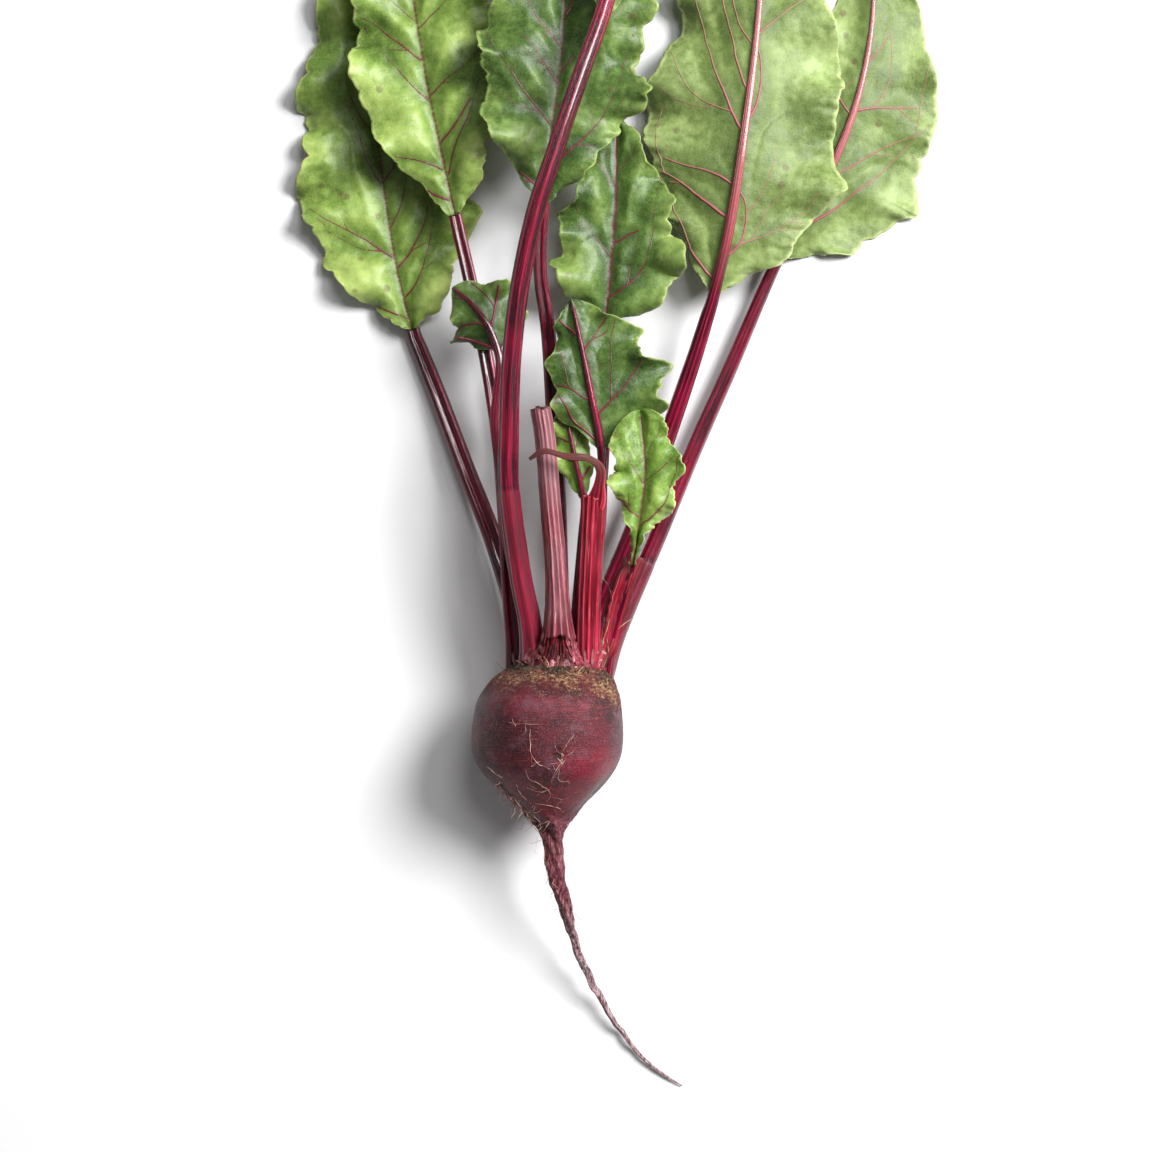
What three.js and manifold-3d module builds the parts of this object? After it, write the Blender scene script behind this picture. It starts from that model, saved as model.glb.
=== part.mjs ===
// A beetroot as pulled from the ground, lying on its side: one swollen root with its long tail, eleven
// leaves, one stalk that was cut short and one that was torn. Millimetres, +Z up. The leaves point along +Y
// and the tail along -Y. The origin is the middle of the small flat spot that the root rests on.
import * as THREE from "three";
import { mergeVertices } from "three/addons/utils/BufferGeometryUtils.js";
import Module from "manifold-3d";

const wasm = await Module();
wasm.setup();

// Driving dimensions
const ROOT_RADIUS = 30;
const FLAT_DEPTH = 0.5; // how far the resting side is pressed flat
const AXIS_Z = ROOT_RADIUS - FLAT_DEPTH;
const CROWN = { x: 5, y: 30, z: 28, radius: 19 }; // the ring that the stalks stand in
const GAP = 0.3; // between pieces that touch
const BLADE_THICK = 0.7;
const MIDRIB_SHARE = 0.9; // how far the midrib runs along its blade
const FLOOR_SOFTNESS = 1; // how gently a blade flattens where it meets the floor

const RIBS = 5; // raised ribs round a stalk
const RIB_HEIGHT = 0.07; // as a share of its radius

const UP = new THREE.Vector3(0, 0, 1);
const DEG = Math.PI / 180;

const COLOURS = {
  root: { color: 0x5e1a2c, roughness: 0.5 },
  stalk: { color: 0x8e0f33, roughness: 0.35 },
  stalk_dry: { color: 0x9a4a56, roughness: 0.65 },
  blade: { color: 0x55752c, roughness: 0.4 },
  blade_under: { color: 0x7d9150, roughness: 0.5 },
  blade_young: { color: 0x86aa3a, roughness: 0.4 },
};

// The root from its crown to the tip of its tail: the middle of each ring and its radius.
const ROOT_RINGS = [
  [4.0, 34.4, AXIS_Z, 4],
  [3.9, 33.8, AXIS_Z, 9],
  [3.7, 32.6, AXIS_Z, 14],
  [3.4, 30.6, AXIS_Z, 18.8],
  [2.6, 27.6, AXIS_Z, 22.8],
  [1.6, 23, AXIS_Z, 26],
  [0.6, 17, AXIS_Z, 28.6],
  [0.2, 9, AXIS_Z, 29.8],
  [0, 1, AXIS_Z, ROOT_RADIUS],
  [0.1, -5, AXIS_Z, 29.2],
  [0.5, -10.5, AXIS_Z, 26.6],
  [1, -16, AXIS_Z, 21.8],
  [0.8, -21, AXIS_Z, 16.8],
  [0.6, -25.3, AXIS_Z, 12.4],
  [1, -29.6, AXIS_Z, 8.4],
  [1.8, -34, 29.4, 5.6],
  [2.3, -40, 29, 4.1],
  [2.9, -47, 27.8, 3.6],
  [4.4, -56, 25.4, 3.1],
  [6.5, -65, 22, 2.6],
  [8.7, -73, 18.6, 2.15],
  [11.4, -81, 15, 1.85],
  [15, -92, 10.6, 1.65],
  [21, -104, 6.6, 1.45],
  [27, -114, 3.9, 1.35],
  [33, -123, 2.3, 1.15],
  [40, -130, 1.5, 0.95],
  [46, -135, 1.1, 0.8],
  [54, -140, 0.7, 0.45],
];
const ROOT_SIDES = 20;
// Two shallow side grooves where the fine roots grow, deepest below the widest part. Angles in degrees.
const GROOVES = { angles: [165, -20], depth: 0.09, halfAngle: 17, y: -20, halfLength: 12 };
// How far the root is out of round, as a share of its radius, with two and with three bulges.
const UNEVEN = { two: 0.012, three: 0.01 };
const TAIL_FROM = 14; // the ring where the sections begin to turn with the tail

// Each leaf is one line from its foot in the crown to its tip, [x, y, z]. "start" is the point where the
// blade begins. "face" is 1 where the inner side of the leaf looks up and -1 where its ribbed outer side
// does. "half" is the stalk's half width at the foot, the middle and the top, "width" the blade's half width
// on its left and right, and "swell" how far along it each side reaches that. "shape" is how slowly the blade
// widens and how bluntly it ends. "fold" is the slope in degrees at the midrib and at the margin, of the left
// and the right side. "wave" is the height and the number of the waves along the margin, and "lobes" those of
// its outline. "steps" is how many rows and columns the blade is built from.
const LONG_TIP = { wedge: 1.15, tip: 1.9, blunt: 0.78 };
const ROUND_TIP = { wedge: 2.4, tip: 2.8, blunt: 0.5 };
const LEAVES = [
  {
    name: "long", face: -1, colour: "blade_under", start: 10, half: [5.4, 4.3, 3.3],
    line: [[-5, 28, 35], [-7, 48, 39], [-11, 69, 42], [-15, 100, 46], [-15, 123, 48], [-14, 150, 50],
      [-11, 177, 52], [-5, 206, 54], [3, 231, 54], [13, 261, 52], [22, 287, 48], [32, 324, 42],
      [40, 360, 32], [46, 398, 19], [48, 433, 8]],
    width: [36, 38], swell: [0.38, 0.45], fold: [[-8, -22], [-8, -22]], wave: [4.6, 5.5], lobes: [0.07, 4.5],
    steps: [20, 8],
  },
  {
    name: "middle", face: 1, colour: "blade", start: 6, half: [4.4, 3.3, 2.6],
    line: [[5, 27, 27], [5, 57, 26], [4, 97, 25], [2, 134, 26], [0, 164, 28], [-3, 187, 30],
      [-2, 213, 31], [1, 238, 32], [5, 270, 31], [7, 305, 27], [7, 341, 19], [5, 376, 8]],
    width: [33, 36], swell: [0.36, 0.4], fold: [[14, 0], [14, -6]], wave: [4.8, 5.5], lobes: [0.07, 4.5],
    steps: [20, 8],
  },
  {
    name: "left", face: 1, colour: "blade", start: 6, half: [5, 4.1, 3.1],
    line: [[-5, 26, 19], [-13, 53, 15], [-22, 81, 10.5], [-33, 109, 7], [-44, 138, 4.6], [-52, 158, 3.6],
      [-55, 166, 3.5], [-61, 190, 3.4], [-66, 220, 3.3], [-70, 253, 3], [-74, 291, 2.5], [-77, 332, 1.6]],
    width: [35, 35], swell: [0.4, 0.32], fold: [[10, -12], [10, -8]], wave: [4.8, 6], lobes: [0.08, 4.5],
    steps: [20, 8],
  },
  {
    name: "right", face: -1, colour: "blade_under", start: 6, half: [5.2, 4.3, 2.6],
    line: [[12, 26, 13], [21, 53, 12], [34, 85, 12], [47, 121, 13], [57, 150, 15.5], [63, 169, 18],
      [66, 179, 20], [72, 205, 24], [77, 237, 26], [82, 274, 24], [86, 315, 17], [89, 355, 8]],
    width: [42, 41], swell: [0.42, 0.36], fold: [[-6, -22], [-3, -10]], wave: [4.6, 5.5], lobes: [0.07, 4],
    steps: [20, 8],
  },
  {
    name: "far", face: -1, colour: "blade_under", start: 6, half: [4.6, 3.8, 2.4],
    line: [[20, 26, 20], [31, 53, 15], [45, 85, 10.5], [60, 121, 8], [73, 150, 7], [85, 178, 7],
      [93, 195, 7], [105, 215, 7.5], [117, 238, 7.5], [126, 264, 7], [131, 294, 6], [131, 328, 4]],
    width: [33, 38], swell: [0.3, 0.34], fold: [[-2, -4], [-4, -10]], wave: [3.8, 5.5], lobes: [0.06, 4],
    steps: [20, 8],
  },
  {
    name: "deep", face: 1, colour: "blade", start: 6, half: [4.2, 3.4, 2.8],
    line: [[-12, 27, 24], [-15, 57, 22], [-17, 90, 20], [-20, 124, 19], [-25, 155, 18.5], [-31, 184, 18.5],
      [-37, 210, 19], [-43, 238, 19.5], [-49, 268, 19], [-54, 299, 17], [-58, 331, 13], [-60, 362, 8]],
    width: [29, 31], swell: [0.38, 0.34], fold: [[6, -6], [12, 0]], wave: [4, 5], lobes: [0.08, 4.5],
    steps: [18, 8],
  },
  {
    name: "lobed", face: -1, colour: "blade", start: 3, half: [3.2, 2.3, 1.9],
    line: [[14, 27, 29], [17, 57, 32], [21, 89, 36], [21, 116, 39], [17, 138, 41], [13, 158, 40],
      [9, 176, 38]],
    width: [16, 31], swell: [0.32, 0.24], fold: [[2, 8], [2, 8]], wave: [3, 3.5], lobes: [0.13, 3.5],
    steps: [15, 8],
  },
  {
    name: "under", face: 1, colour: "blade", start: 5, half: [3.4, 2.4, 1.8],
    line: [[14, 26, 21], [17, 57, 19], [21, 97, 16], [23, 129, 15.5], [23, 155, 15.5], [23, 168, 16],
      [25, 190, 17], [27, 218, 18], [27, 250, 17]],
    width: [24, 29], swell: [0.34, 0.3], fold: [[8, 0], [8, 0]], wave: [3.6, 4.5], lobes: [0.1, 3.5],
    steps: [15, 8],
  },
  {
    name: "side", face: -1, colour: "blade_under", start: 6, half: [3.2, 2.1, 1.6],
    line: [[-7, 27, 28], [-10, 53, 28], [-16, 81, 28], [-19, 109, 28], [-21, 128, 29], [-19, 148, 30],
      [-20, 156, 30], [-24, 166, 31], [-30, 174, 31], [-38, 181, 29]],
    width: [15, 18], swell: [0.3, 0.34], fold: [[0, -12], [0, -12]], wave: [2.6, 3], lobes: [0.12, 2.5],
    steps: [12, 6],
  },
  {
    name: "bright", face: 1, colour: "blade_young", start: 3, half: [4.4, 3.6, 1.8],
    line: [[20, 26, 32], [25, 46, 36], [29, 59, 39], [33, 71, 41], [36, 89, 42], [38, 108, 43],
      [36, 132, 42]],
    width: [14, 14.5], swell: [0.62, 0.56], shape: ROUND_TIP, fold: [[14, -6], [14, -6]], wave: [2.6, 4],
    lobes: [0.12, 3.5], steps: [18, 6],
  },
  {
    name: "curled", face: -1, colour: "blade_young", start: 3, half: [2.6, 1.7, 1.3],
    line: [[9, 27, 33], [11, 57, 34], [13, 81, 34.5], [14, 97, 35], [11, 112, 36], [8, 126, 36.5],
      [5, 135, 36]],
    width: [8.5, 7.5], swell: [0.34, 0.4], fold: [[4, -12], [4, -12]], wave: [2.1, 3], lobes: [0.12, 2.5],
    steps: [10, 6],
  },
];
const STALK_STEPS = 9; // rings along a stalk
const MIDRIB_STEPS = 6; // and along the midrib that carries on from it
const STALK_SIDES = 10;
const FOOT_SHARE = 0.1; // the share of a stalk over which its foot narrows
const MIDRIB_TIP = 0.4; // half width of the midrib at its end

// The two leafless stalks, and the strip of skin that the torn one peeled off as it broke.
const CUT_STALK = {
  line: [[4, 28, 36.5], [4, 50, 43], [3, 73, 44], [1, 96, 44.5], [-1, 120, 45], [-3, 133, 45]],
  half: [15.5, 4.1, 4.1],
};
const TORN_STALK = {
  line: [[15.5, 28, 37], [16, 57, 43], [17, 79, 46], [18, 99, 48]],
  half: [4.8, 4.9, 5.1],
};
const PEELED_STRIP = [[18.5, 93, 50], [20, 101, 52], [20.5, 108, 54], [16, 112, 56], [7, 113, 56],
  [-1, 115, 55], [-7, 112, 52]];
const STRIP_HALF = { width: 1.7, thick: 0.55 };
const STRIP_STEPS = 14;

// Dry stubs of old leaf feet round the crown, each a flat pointed scale that leans out by some degrees
const HUSKS = {
  count: 15, length: [5, 9], half: [1.6, 2.6], flatness: 0.45, sunk: 3, lean: [4, 28], sides: 4, seed: 7,
};

// Helpers
const smoothstep = (x, low, high) => {
  const t = Math.min(1, Math.max(0, (x - low) / (high - low)));
  return t * t * (3 - 2 * t);
};
const vector = (p) => new THREE.Vector3(p[0], p[1], p[2]);
const curveThrough = (points) => new THREE.CatmullRomCurve3(points.map(vector), false, "catmullrom", 0.5);

// A repeatable random number from 0 to 1, so that every build is the same.
function seededRandom(seed) {
  let state = seed;
  return () => {
    state = (state * 16807) % 2147483647;
    return state / 2147483647;
  };
}

// The closed skin of a list of triangles with shared vertices, as a solid.
function solidOf(geometry) {
  const bare = geometry.clone();
  for (const name of ["normal", "uv"]) bare.deleteAttribute(name);
  const merged = mergeVertices(bare, 1e-4);
  const vertProperties = new Float32Array(merged.attributes.position.array);
  const triVerts = new Uint32Array(merged.index.array);
  return new wasm.Manifold(new wasm.Mesh({ numProp: 3, vertProperties, triVerts }));
}

function geometryOf(solid) {
  const mesh = solid.getMesh();
  const geometry = new THREE.BufferGeometry();
  geometry.setAttribute("position", new THREE.BufferAttribute(new Float32Array(mesh.vertProperties), 3));
  geometry.setIndex(new THREE.BufferAttribute(new Uint32Array(mesh.triVerts), 1));
  geometry.computeVertexNormals();
  return geometry;
}

// What a cut leaves loose is dropped: only the largest body stays.
const largest = (solid) => solid.decompose().reduce((a, b) => (a.volume() > b.volume() ? a : b));

// A closed solid over a row of rings with equal numbers of points, with a fan to the middle at each end.
function loft(rings) {
  const sides = rings[0].length;
  const middle = (ring) => ring.reduce((sum, p) => sum.add(p), new THREE.Vector3()).divideScalar(sides);
  const points = [...rings.flat(), middle(rings[0]), middle(rings.at(-1))];
  const [first, last] = [points.length - 2, points.length - 1];
  const index = [];
  for (let j = 0; j < sides; j++) {
    const k = (j + 1) % sides;
    for (let i = 0; i + 1 < rings.length; i++) {
      const [a, b] = [i * sides, (i + 1) * sides];
      index.push(a + j, a + k, b + k, a + j, b + k, b + j);
    }
    const end = (rings.length - 1) * sides;
    index.push(first, k, j, last, end + j, end + k);
  }
  const geometry = new THREE.BufferGeometry().setFromPoints(points);
  geometry.setIndex(index);
  return solidOf(geometry);
}

// The side and the upper direction across a line, both square to its tangent.
function frameAcross(tangent) {
  const side = new THREE.Vector3().crossVectors(tangent, UP).normalize();
  return { side, normal: new THREE.Vector3().crossVectors(side, tangent) };
}

// A ring of points round a centre. "radiusAt" gives the half width and half height at an angle.
function ringRound(centre, tangent, sides, radiusAt) {
  const { side, normal } = frameAcross(tangent);
  return Array.from({ length: sides }, (_, j) => {
    const angle = (-j / sides) * 2 * Math.PI;
    const [across, up] = radiusAt(angle);
    return centre.clone()
      .addScaledVector(side, across * Math.cos(angle))
      .addScaledVector(normal, up * Math.sin(angle));
  });
}

// Root
// The depth of the side grooves at an angle round the root, as a share of its radius.
function grooveDepth(angle, y) {
  const { angles, depth, halfAngle, y: middleY, halfLength } = GROOVES;
  const turnFrom = (middle) => Math.atan2(Math.sin(angle - middle * DEG), Math.cos(angle - middle * DEG));
  const near = (middle) => Math.exp(-((turnFrom(middle) / (halfAngle * DEG)) ** 2));
  const along = Math.exp(-(((y - middleY) / halfLength) ** 2));
  return depth * along * angles.reduce((sum, middle) => sum + near(middle), 0);
}

function rootBody(grow = 0) {
  const along = new THREE.Vector3(0, -1, 0);
  const middles = curveThrough(ROOT_RINGS);
  const rings = ROOT_RINGS.map(([x, y, z, radius], i) => {
    const tail = smoothstep(i, TAIL_FROM, TAIL_FROM + 4);
    const tangent = along.clone().lerp(middles.getTangent(i / (ROOT_RINGS.length - 1)), tail).normalize();
    return ringRound(new THREE.Vector3(x, y, z), tangent, ROOT_SIDES, (angle) => {
      const uneven = 1 + UNEVEN.two * Math.sin(2 * angle + 0.6) + UNEVEN.three * Math.sin(3 * angle + 1.9);
      const r = (radius + grow) * (tail < 1 ? uneven - grooveDepth(angle, y) : 1);
      return [r, r];
    });
  });
  return loft(rings);
}

function husks(grow = 0) {
  const random = seededRandom(HUSKS.seed);
  const between = ([low, high]) => low + (high - low) * random();
  return Array.from({ length: HUSKS.count }, (_, i) => {
    const angle = ((i + 0.6 * random()) / HUSKS.count) * 2 * Math.PI;
    const length = between(HUSKS.length) + HUSKS.sunk;
    const half = between(HUSKS.half) + grow;
    const scale = new THREE.ConeGeometry(half, length + 2 * grow, HUSKS.sides);
    scale.scale(1, 1, HUSKS.flatness + grow / half);
    scale.translate(0, length / 2 - HUSKS.sunk, 0);
    scale.rotateX(between(HUSKS.lean) * DEG);
    scale.rotateY(Math.PI / 2 - angle);
    const out = CROWN.radius + random();
    scale.translate(CROWN.x + out * Math.cos(angle), CROWN.y - 1, CROWN.z + out * Math.sin(angle));
    return solidOf(scale);
  });
}

function rootSolid(grow = 0) {
  const whole = husks(grow).reduce((body, husk) => body.add(husk), rootBody(grow));
  if (grow) return whole;
  const below = new THREE.BoxGeometry(400, 400, 100).translate(0, 0, -50); // all that lies under the floor
  return largest(whole.subtract(solidOf(below)));
}

// Stalks
// Half width of a stalk: it flares at the foot, and past the blade's start it tapers along the midrib.
function stalkHalf([foot, mid, top], along, midrib) {
  const stalk = mid + (foot - mid) * Math.exp(-along / FOOT_SHARE) + (top - mid) * along ** 2;
  return midrib > 0 ? MIDRIB_TIP + (top - MIDRIB_TIP) * (1 - midrib) ** 0.8 : stalk;
}
// Half thickness of a stalk: it is flatter than it is wide, most of all at the foot.
const stalkThick = (half, along) => half * (0.84 - 0.14 * Math.exp(-along / FOOT_SHARE));

function stalkRing(curve, t, halfWidth, halfThick, grow) {
  return ringRound(curve.getPoint(t), curve.getTangent(t), STALK_SIDES, (angle) => {
    const rib = 1 + RIB_HEIGHT * Math.cos(RIBS * angle);
    return [halfWidth * rib + grow, halfThick * rib + grow];
  });
}

function stalkSolid({ line, half, start = line.length - 1 }, grow = 0) {
  const curve = curveThrough(line);
  const bladeAt = start / (line.length - 1);
  const rings = [];
  for (let i = 0; i <= STALK_STEPS; i++) {
    const along = (i / STALK_STEPS) ** 1.2;
    const width = stalkHalf(half, along, 0);
    rings.push(stalkRing(curve, along * bladeAt, width, stalkThick(width, along), grow));
  }
  for (let i = 1; bladeAt < 1 && i <= MIDRIB_STEPS; i++) {
    const midrib = (i / MIDRIB_STEPS) * MIDRIB_SHARE;
    const width = stalkHalf(half, 1, midrib);
    rings.push(stalkRing(curve, bladeAt + midrib * (1 - bladeAt), width, stalkThick(width, 1), grow));
  }
  return loft(rings);
}

function peeledStrip() {
  const curve = curveThrough(PEELED_STRIP);
  const rings = Array.from({ length: STRIP_STEPS + 1 }, (_, i) => {
    const t = i / STRIP_STEPS;
    const width = STRIP_HALF.width * (1 - 0.75 * t ** 3);
    return ringRound(curve.getPoint(t), curve.getTangent(t), 6, () => [width, STRIP_HALF.thick]);
  });
  return loft(rings);
}

// Blades
// Half width along the blade, as a share of the widest: a wedge up to "reach", then its tip.
function outline({ wedge, tip, blunt }, reach, u) {
  const widening = Math.sin((Math.PI / 2) * Math.min(u / reach, 1)) ** wedge;
  const past = Math.max(0, (u - reach) / (1 - reach));
  return widening * (1 - past ** tip) ** blunt;
}

// Keeps the middle of the blade above the floor, flattening it there.
function aboveFloor(z) {
  const lowest = BLADE_THICK / 2 + 0.15;
  return lowest + FLOOR_SOFTNESS * Math.log(1 + Math.exp((z - lowest) / FLOOR_SOFTNESS));
}

// A point of the blade's middle surface: u runs from its foot to its tip, v from -1 to 1 across it.
function bladePoint(leaf, curve, u, v) {
  const bladeAt = leaf.start / (leaf.line.length - 1);
  const t = bladeAt + u * (1 - bladeAt);
  const { side, normal } = frameAcross(curve.getTangent(t));
  const hand = v < 0 ? -1 : 1;
  const phase = v < 0 ? 0.9 : 2.6;
  const [lobeHeight, lobeCount] = leaf.lobes;
  const lobes = 1 + lobeHeight * Math.sin(2 * Math.PI * lobeCount * u + 2 * phase);
  const foot = 0.8 * leaf.half[2] * (1 - smoothstep(u, 0, 0.25));
  const edge = v < 0 ? 0 : 1;
  const shape = outline(leaf.shape ?? LONG_TIP, leaf.swell[edge], Math.min(u, 1));
  const width = leaf.width[edge] * shape * lobes + foot;
  const [inner, outer] = leaf.fold[edge].map((a) => a * DEG);
  const away = Math.abs(v);
  const slope = inner + (outer - inner) * away;
  const across = (width * (Math.sin(slope) - Math.sin(inner))) / (outer - inner);
  const rise = (width * (Math.cos(inner) - Math.cos(slope))) / (outer - inner);
  const [height, count] = leaf.wave;
  const turn = 2 * Math.PI * count * u + phase;
  const wave = height * away ** 2.2 * Math.sqrt(Math.sin(Math.PI * Math.min(u, 1))) *
    (Math.sin(turn) + 0.3 * Math.sin(1.7 * turn + phase));
  const midrib = stalkHalf(leaf.half, 1, Math.min(u, MIDRIB_SHARE));
  const offset = leaf.face * (1.07 * stalkThick(midrib, 1) + GAP + BLADE_THICK / 2);
  const point = curve.getPoint(t)
    .addScaledVector(side, hand * (across - wave * Math.sin(slope)))
    .addScaledVector(normal, offset + rise + wave * Math.cos(slope));
  point.z = aboveFloor(point.z);
  return point;
}

// The surface normal, from points a small step away on each side.
function bladeNormal(leaf, curve, u, v) {
  const step = 0.01;
  const [u0, u1] = [Math.max(0, u - step), Math.min(0.995, u + step)];
  const [v0, v1] = [Math.max(-1, v - step), Math.min(1, v + step)];
  const alongU = bladePoint(leaf, curve, u1, v).sub(bladePoint(leaf, curve, u0, v));
  const alongV = bladePoint(leaf, curve, u, v1).sub(bladePoint(leaf, curve, u, v0));
  return alongV.cross(alongU).normalize();
}

// A thin solid: the middle surface offset to both sides, split into triangles alike on both faces.
function bladeSolid(leaf) {
  const curve = curveThrough(leaf.line);
  const [rows, columns] = leaf.steps;
  const shift = BLADE_THICK / 2;
  const upper = [];
  const lower = [];
  for (let i = 0; i <= rows; i++) {
    const u = Math.sin((i / rows) * Math.PI * 0.5) * 0.25 + (i / rows) * 0.74;
    for (let j = 0; j <= columns; j++) {
      const v = -1 + (2 * j) / columns;
      const point = bladePoint(leaf, curve, u, v);
      const normal = bladeNormal(leaf, curve, u, v);
      upper.push(point.clone().addScaledVector(normal, shift));
      lower.push(point.clone().addScaledVector(normal, -shift));
    }
  }
  const half = upper.length;
  const at = (i, j) => i * (columns + 1) + j;
  const index = [];
  for (let i = 0; i < rows; i++)
    for (let j = 0; j < columns; j++) {
      const [a, b, c, d] = [at(i, j), at(i, j + 1), at(i + 1, j + 1), at(i + 1, j)];
      index.push(a, b, c, a, c, d);
      index.push(half + a, half + c, half + b, half + a, half + d, half + c);
    }
  const rim = [];
  for (let j = 0; j < columns; j++) rim.push(at(0, j));
  for (let i = 0; i < rows; i++) rim.push(at(i, columns));
  for (let j = columns; j > 0; j--) rim.push(at(rows, j));
  for (let i = rows; i > 0; i--) rim.push(at(i, 0));
  rim.forEach((a, k) => {
    const b = rim[(k + 1) % rim.length];
    index.push(a, half + a, half + b, a, half + b, b);
  });
  const geometry = new THREE.BufferGeometry().setFromPoints([...upper, ...lower]);
  geometry.setIndex(index);
  return solidOf(geometry);
}

// Assembly
const beetroot = new THREE.Group();

function addPiece(name, solid, colour) {
  const mesh = new THREE.Mesh(geometryOf(solid), new THREE.MeshStandardMaterial(COLOURS[colour]));
  mesh.name = name;
  beetroot.add(mesh);
}

addPiece("root", rootSolid(), "root");

// Each stalk is trimmed where its foot meets the crown and the stalks placed before it.
const crownTool = rootSolid(GAP);
const placed = [];
function addStalk(name, stalk, colour, extra) {
  let solid = stalkSolid(stalk);
  if (extra) solid = solid.add(extra);
  for (const tool of [crownTool, ...placed]) solid = largest(solid.subtract(tool));
  placed.push(stalkSolid(stalk, GAP));
  addPiece(name, solid, colour);
}

addStalk("stalk_cut", CUT_STALK, "stalk_dry");
addStalk("stalk_torn", TORN_STALK, "stalk", peeledStrip());
for (const leaf of LEAVES) {
  addStalk("stalk_" + leaf.name, leaf, "stalk");
  addPiece("blade_" + leaf.name, bladeSolid(leaf), leaf.colour);
}

export default beetroot;
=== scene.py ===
# %% [markdown]
# # A beetroot, pulled with its leaves
# The real plant is one swollen root with a long tail, and a bunch of crimson stalks that each carry a green
# blade. The frame holds these pieces as plain solids at their real size. Here every one of them is made
# again, finer, from the same lines and widths, so that it stays where its solid is. All sizes below are in
# millimetres, and only the last step of each piece turns them into Blender's metres.

# %% Load the frame
import math

import bpy
import numpy as np
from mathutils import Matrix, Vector, kdtree, noise


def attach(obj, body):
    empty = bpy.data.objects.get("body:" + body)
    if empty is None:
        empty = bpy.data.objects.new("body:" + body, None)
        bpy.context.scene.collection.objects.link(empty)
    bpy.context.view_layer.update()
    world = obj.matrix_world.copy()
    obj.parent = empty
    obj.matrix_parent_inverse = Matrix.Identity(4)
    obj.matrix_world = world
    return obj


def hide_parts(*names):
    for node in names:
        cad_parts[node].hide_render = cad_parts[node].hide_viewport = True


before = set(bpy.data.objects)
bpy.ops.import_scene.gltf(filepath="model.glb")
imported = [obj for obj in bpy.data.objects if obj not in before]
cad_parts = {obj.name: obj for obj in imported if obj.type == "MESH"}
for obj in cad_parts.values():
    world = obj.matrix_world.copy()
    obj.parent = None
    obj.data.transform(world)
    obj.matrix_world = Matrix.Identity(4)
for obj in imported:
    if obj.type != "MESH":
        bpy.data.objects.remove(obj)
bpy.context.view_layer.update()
MM = 0.001
print("nodes in the frame:", len(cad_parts))

# %% [markdown]
# ## A small language for node trees
# Wiring shader maths node by node is hard to read. The class below wraps one output socket, and its
# operators add Math nodes, so a pattern can be written like a formula. `Tree.add` makes any other node.
# Materials and Geometry Nodes share it, because both use the same Math nodes.


# %% A socket that understands arithmetic
class Sock:
    """One output socket of a node tree. Arithmetic on it adds Math nodes."""

    def __init__(self, tree, socket):
        self.tree = tree
        self.socket = socket

    def math(self, operation, *values):
        settings = {"operation": operation}
        return self.tree.add("ShaderNodeMath", settings, dict(enumerate((self, *values))))

    def __add__(self, other):
        return self.math("ADD", other)

    def __sub__(self, other):
        return self.math("SUBTRACT", other)

    def __rsub__(self, other):
        return (self * -1.0) + other

    def __mul__(self, other):
        return self.math("MULTIPLY", other)

    def __truediv__(self, other):
        return self.math("DIVIDE", other)

    def __pow__(self, other):
        return self.math("POWER", other)

    __radd__ = __add__
    __rmul__ = __mul__

    def ramp(self, low, high):
        """0 below low and 1 above high, with a smooth rise between them."""
        settings = {"interpolation_type": "SMOOTHSTEP"}
        places = {"Value": self, "From Min": low, "From Max": high}
        return self.tree.add("ShaderNodeMapRange", settings, places)

    def other(self, out):
        """Another output of the same node."""
        return Sock(self.tree, self.socket.node.outputs[out])


class Tree:
    """A node tree that is written as expressions."""

    def __init__(self, tree):
        self.tree = tree

    def add(self, kind, settings=None, values=None, out=0):
        node = self.tree.nodes.new(kind)
        for name, value in (settings or {}).items():
            setattr(node, name, value)
        for key, value in (values or {}).items():
            self.feed(node.inputs[key], value)
        return Sock(self, node.outputs[out])

    def feed(self, socket, value):
        if isinstance(value, Sock):
            self.tree.links.new(value.socket, socket)
        elif socket.type == "RGBA" and len(value) == 3:
            socket.default_value = (*value, 1.0)
        else:
            socket.default_value = value

    def mix(self, factor, first, second):
        """One colour over another."""
        return self.add("ShaderNodeMix", {"data_type": "RGBA"}, {0: factor, 6: first, 7: second}, out=2)

    def layers(self, colour, *layers):
        """Lays tones over a colour in turn, each by its own share."""
        for share, tone in layers:
            colour = self.mix(share, colour, tone)
        return colour

    def vector(self, operation, first, second, out=0):
        """Vector maths. For SCALE the second value is a number."""
        key = "Scale" if operation == "SCALE" else 1
        return self.add("ShaderNodeVectorMath", {"operation": operation}, {0: first, key: second}, out)

    def stretch(self, vector, scale):
        """A vector, scaled along each axis."""
        return self.vector("MULTIPLY", vector, scale)

    def parts(self, vector):
        """The x and the y of a vector."""
        x = self.add("ShaderNodeSeparateXYZ", None, {0: vector})
        return x, x.other(1)

    def noise(self, vector, scale, detail=2.0, rough=0.5):
        values = {"Vector": vector, "Scale": scale, "Detail": detail, "Roughness": rough}
        return self.add("ShaderNodeTexNoise", None, values)

    def cells(self, vector, scale, feature="F1"):
        return self.add("ShaderNodeTexVoronoi", {"feature": feature}, {"Vector": vector, "Scale": scale})


# %% Start a material
STRAIGHT_PART = 10  # up to this value of 255 the curve from seen to linear light is a straight line


def rgb(*channels):
    """A colour as the eye reads it, 0 to 255, turned into the linear light that shaders use."""
    shares = [channel / 255 for channel in channels]
    straight = STRAIGHT_PART / 255
    return tuple(s / 12.92 if s <= straight else ((s + 0.055) / 1.055) ** 2.4 for s in shares)


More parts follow.
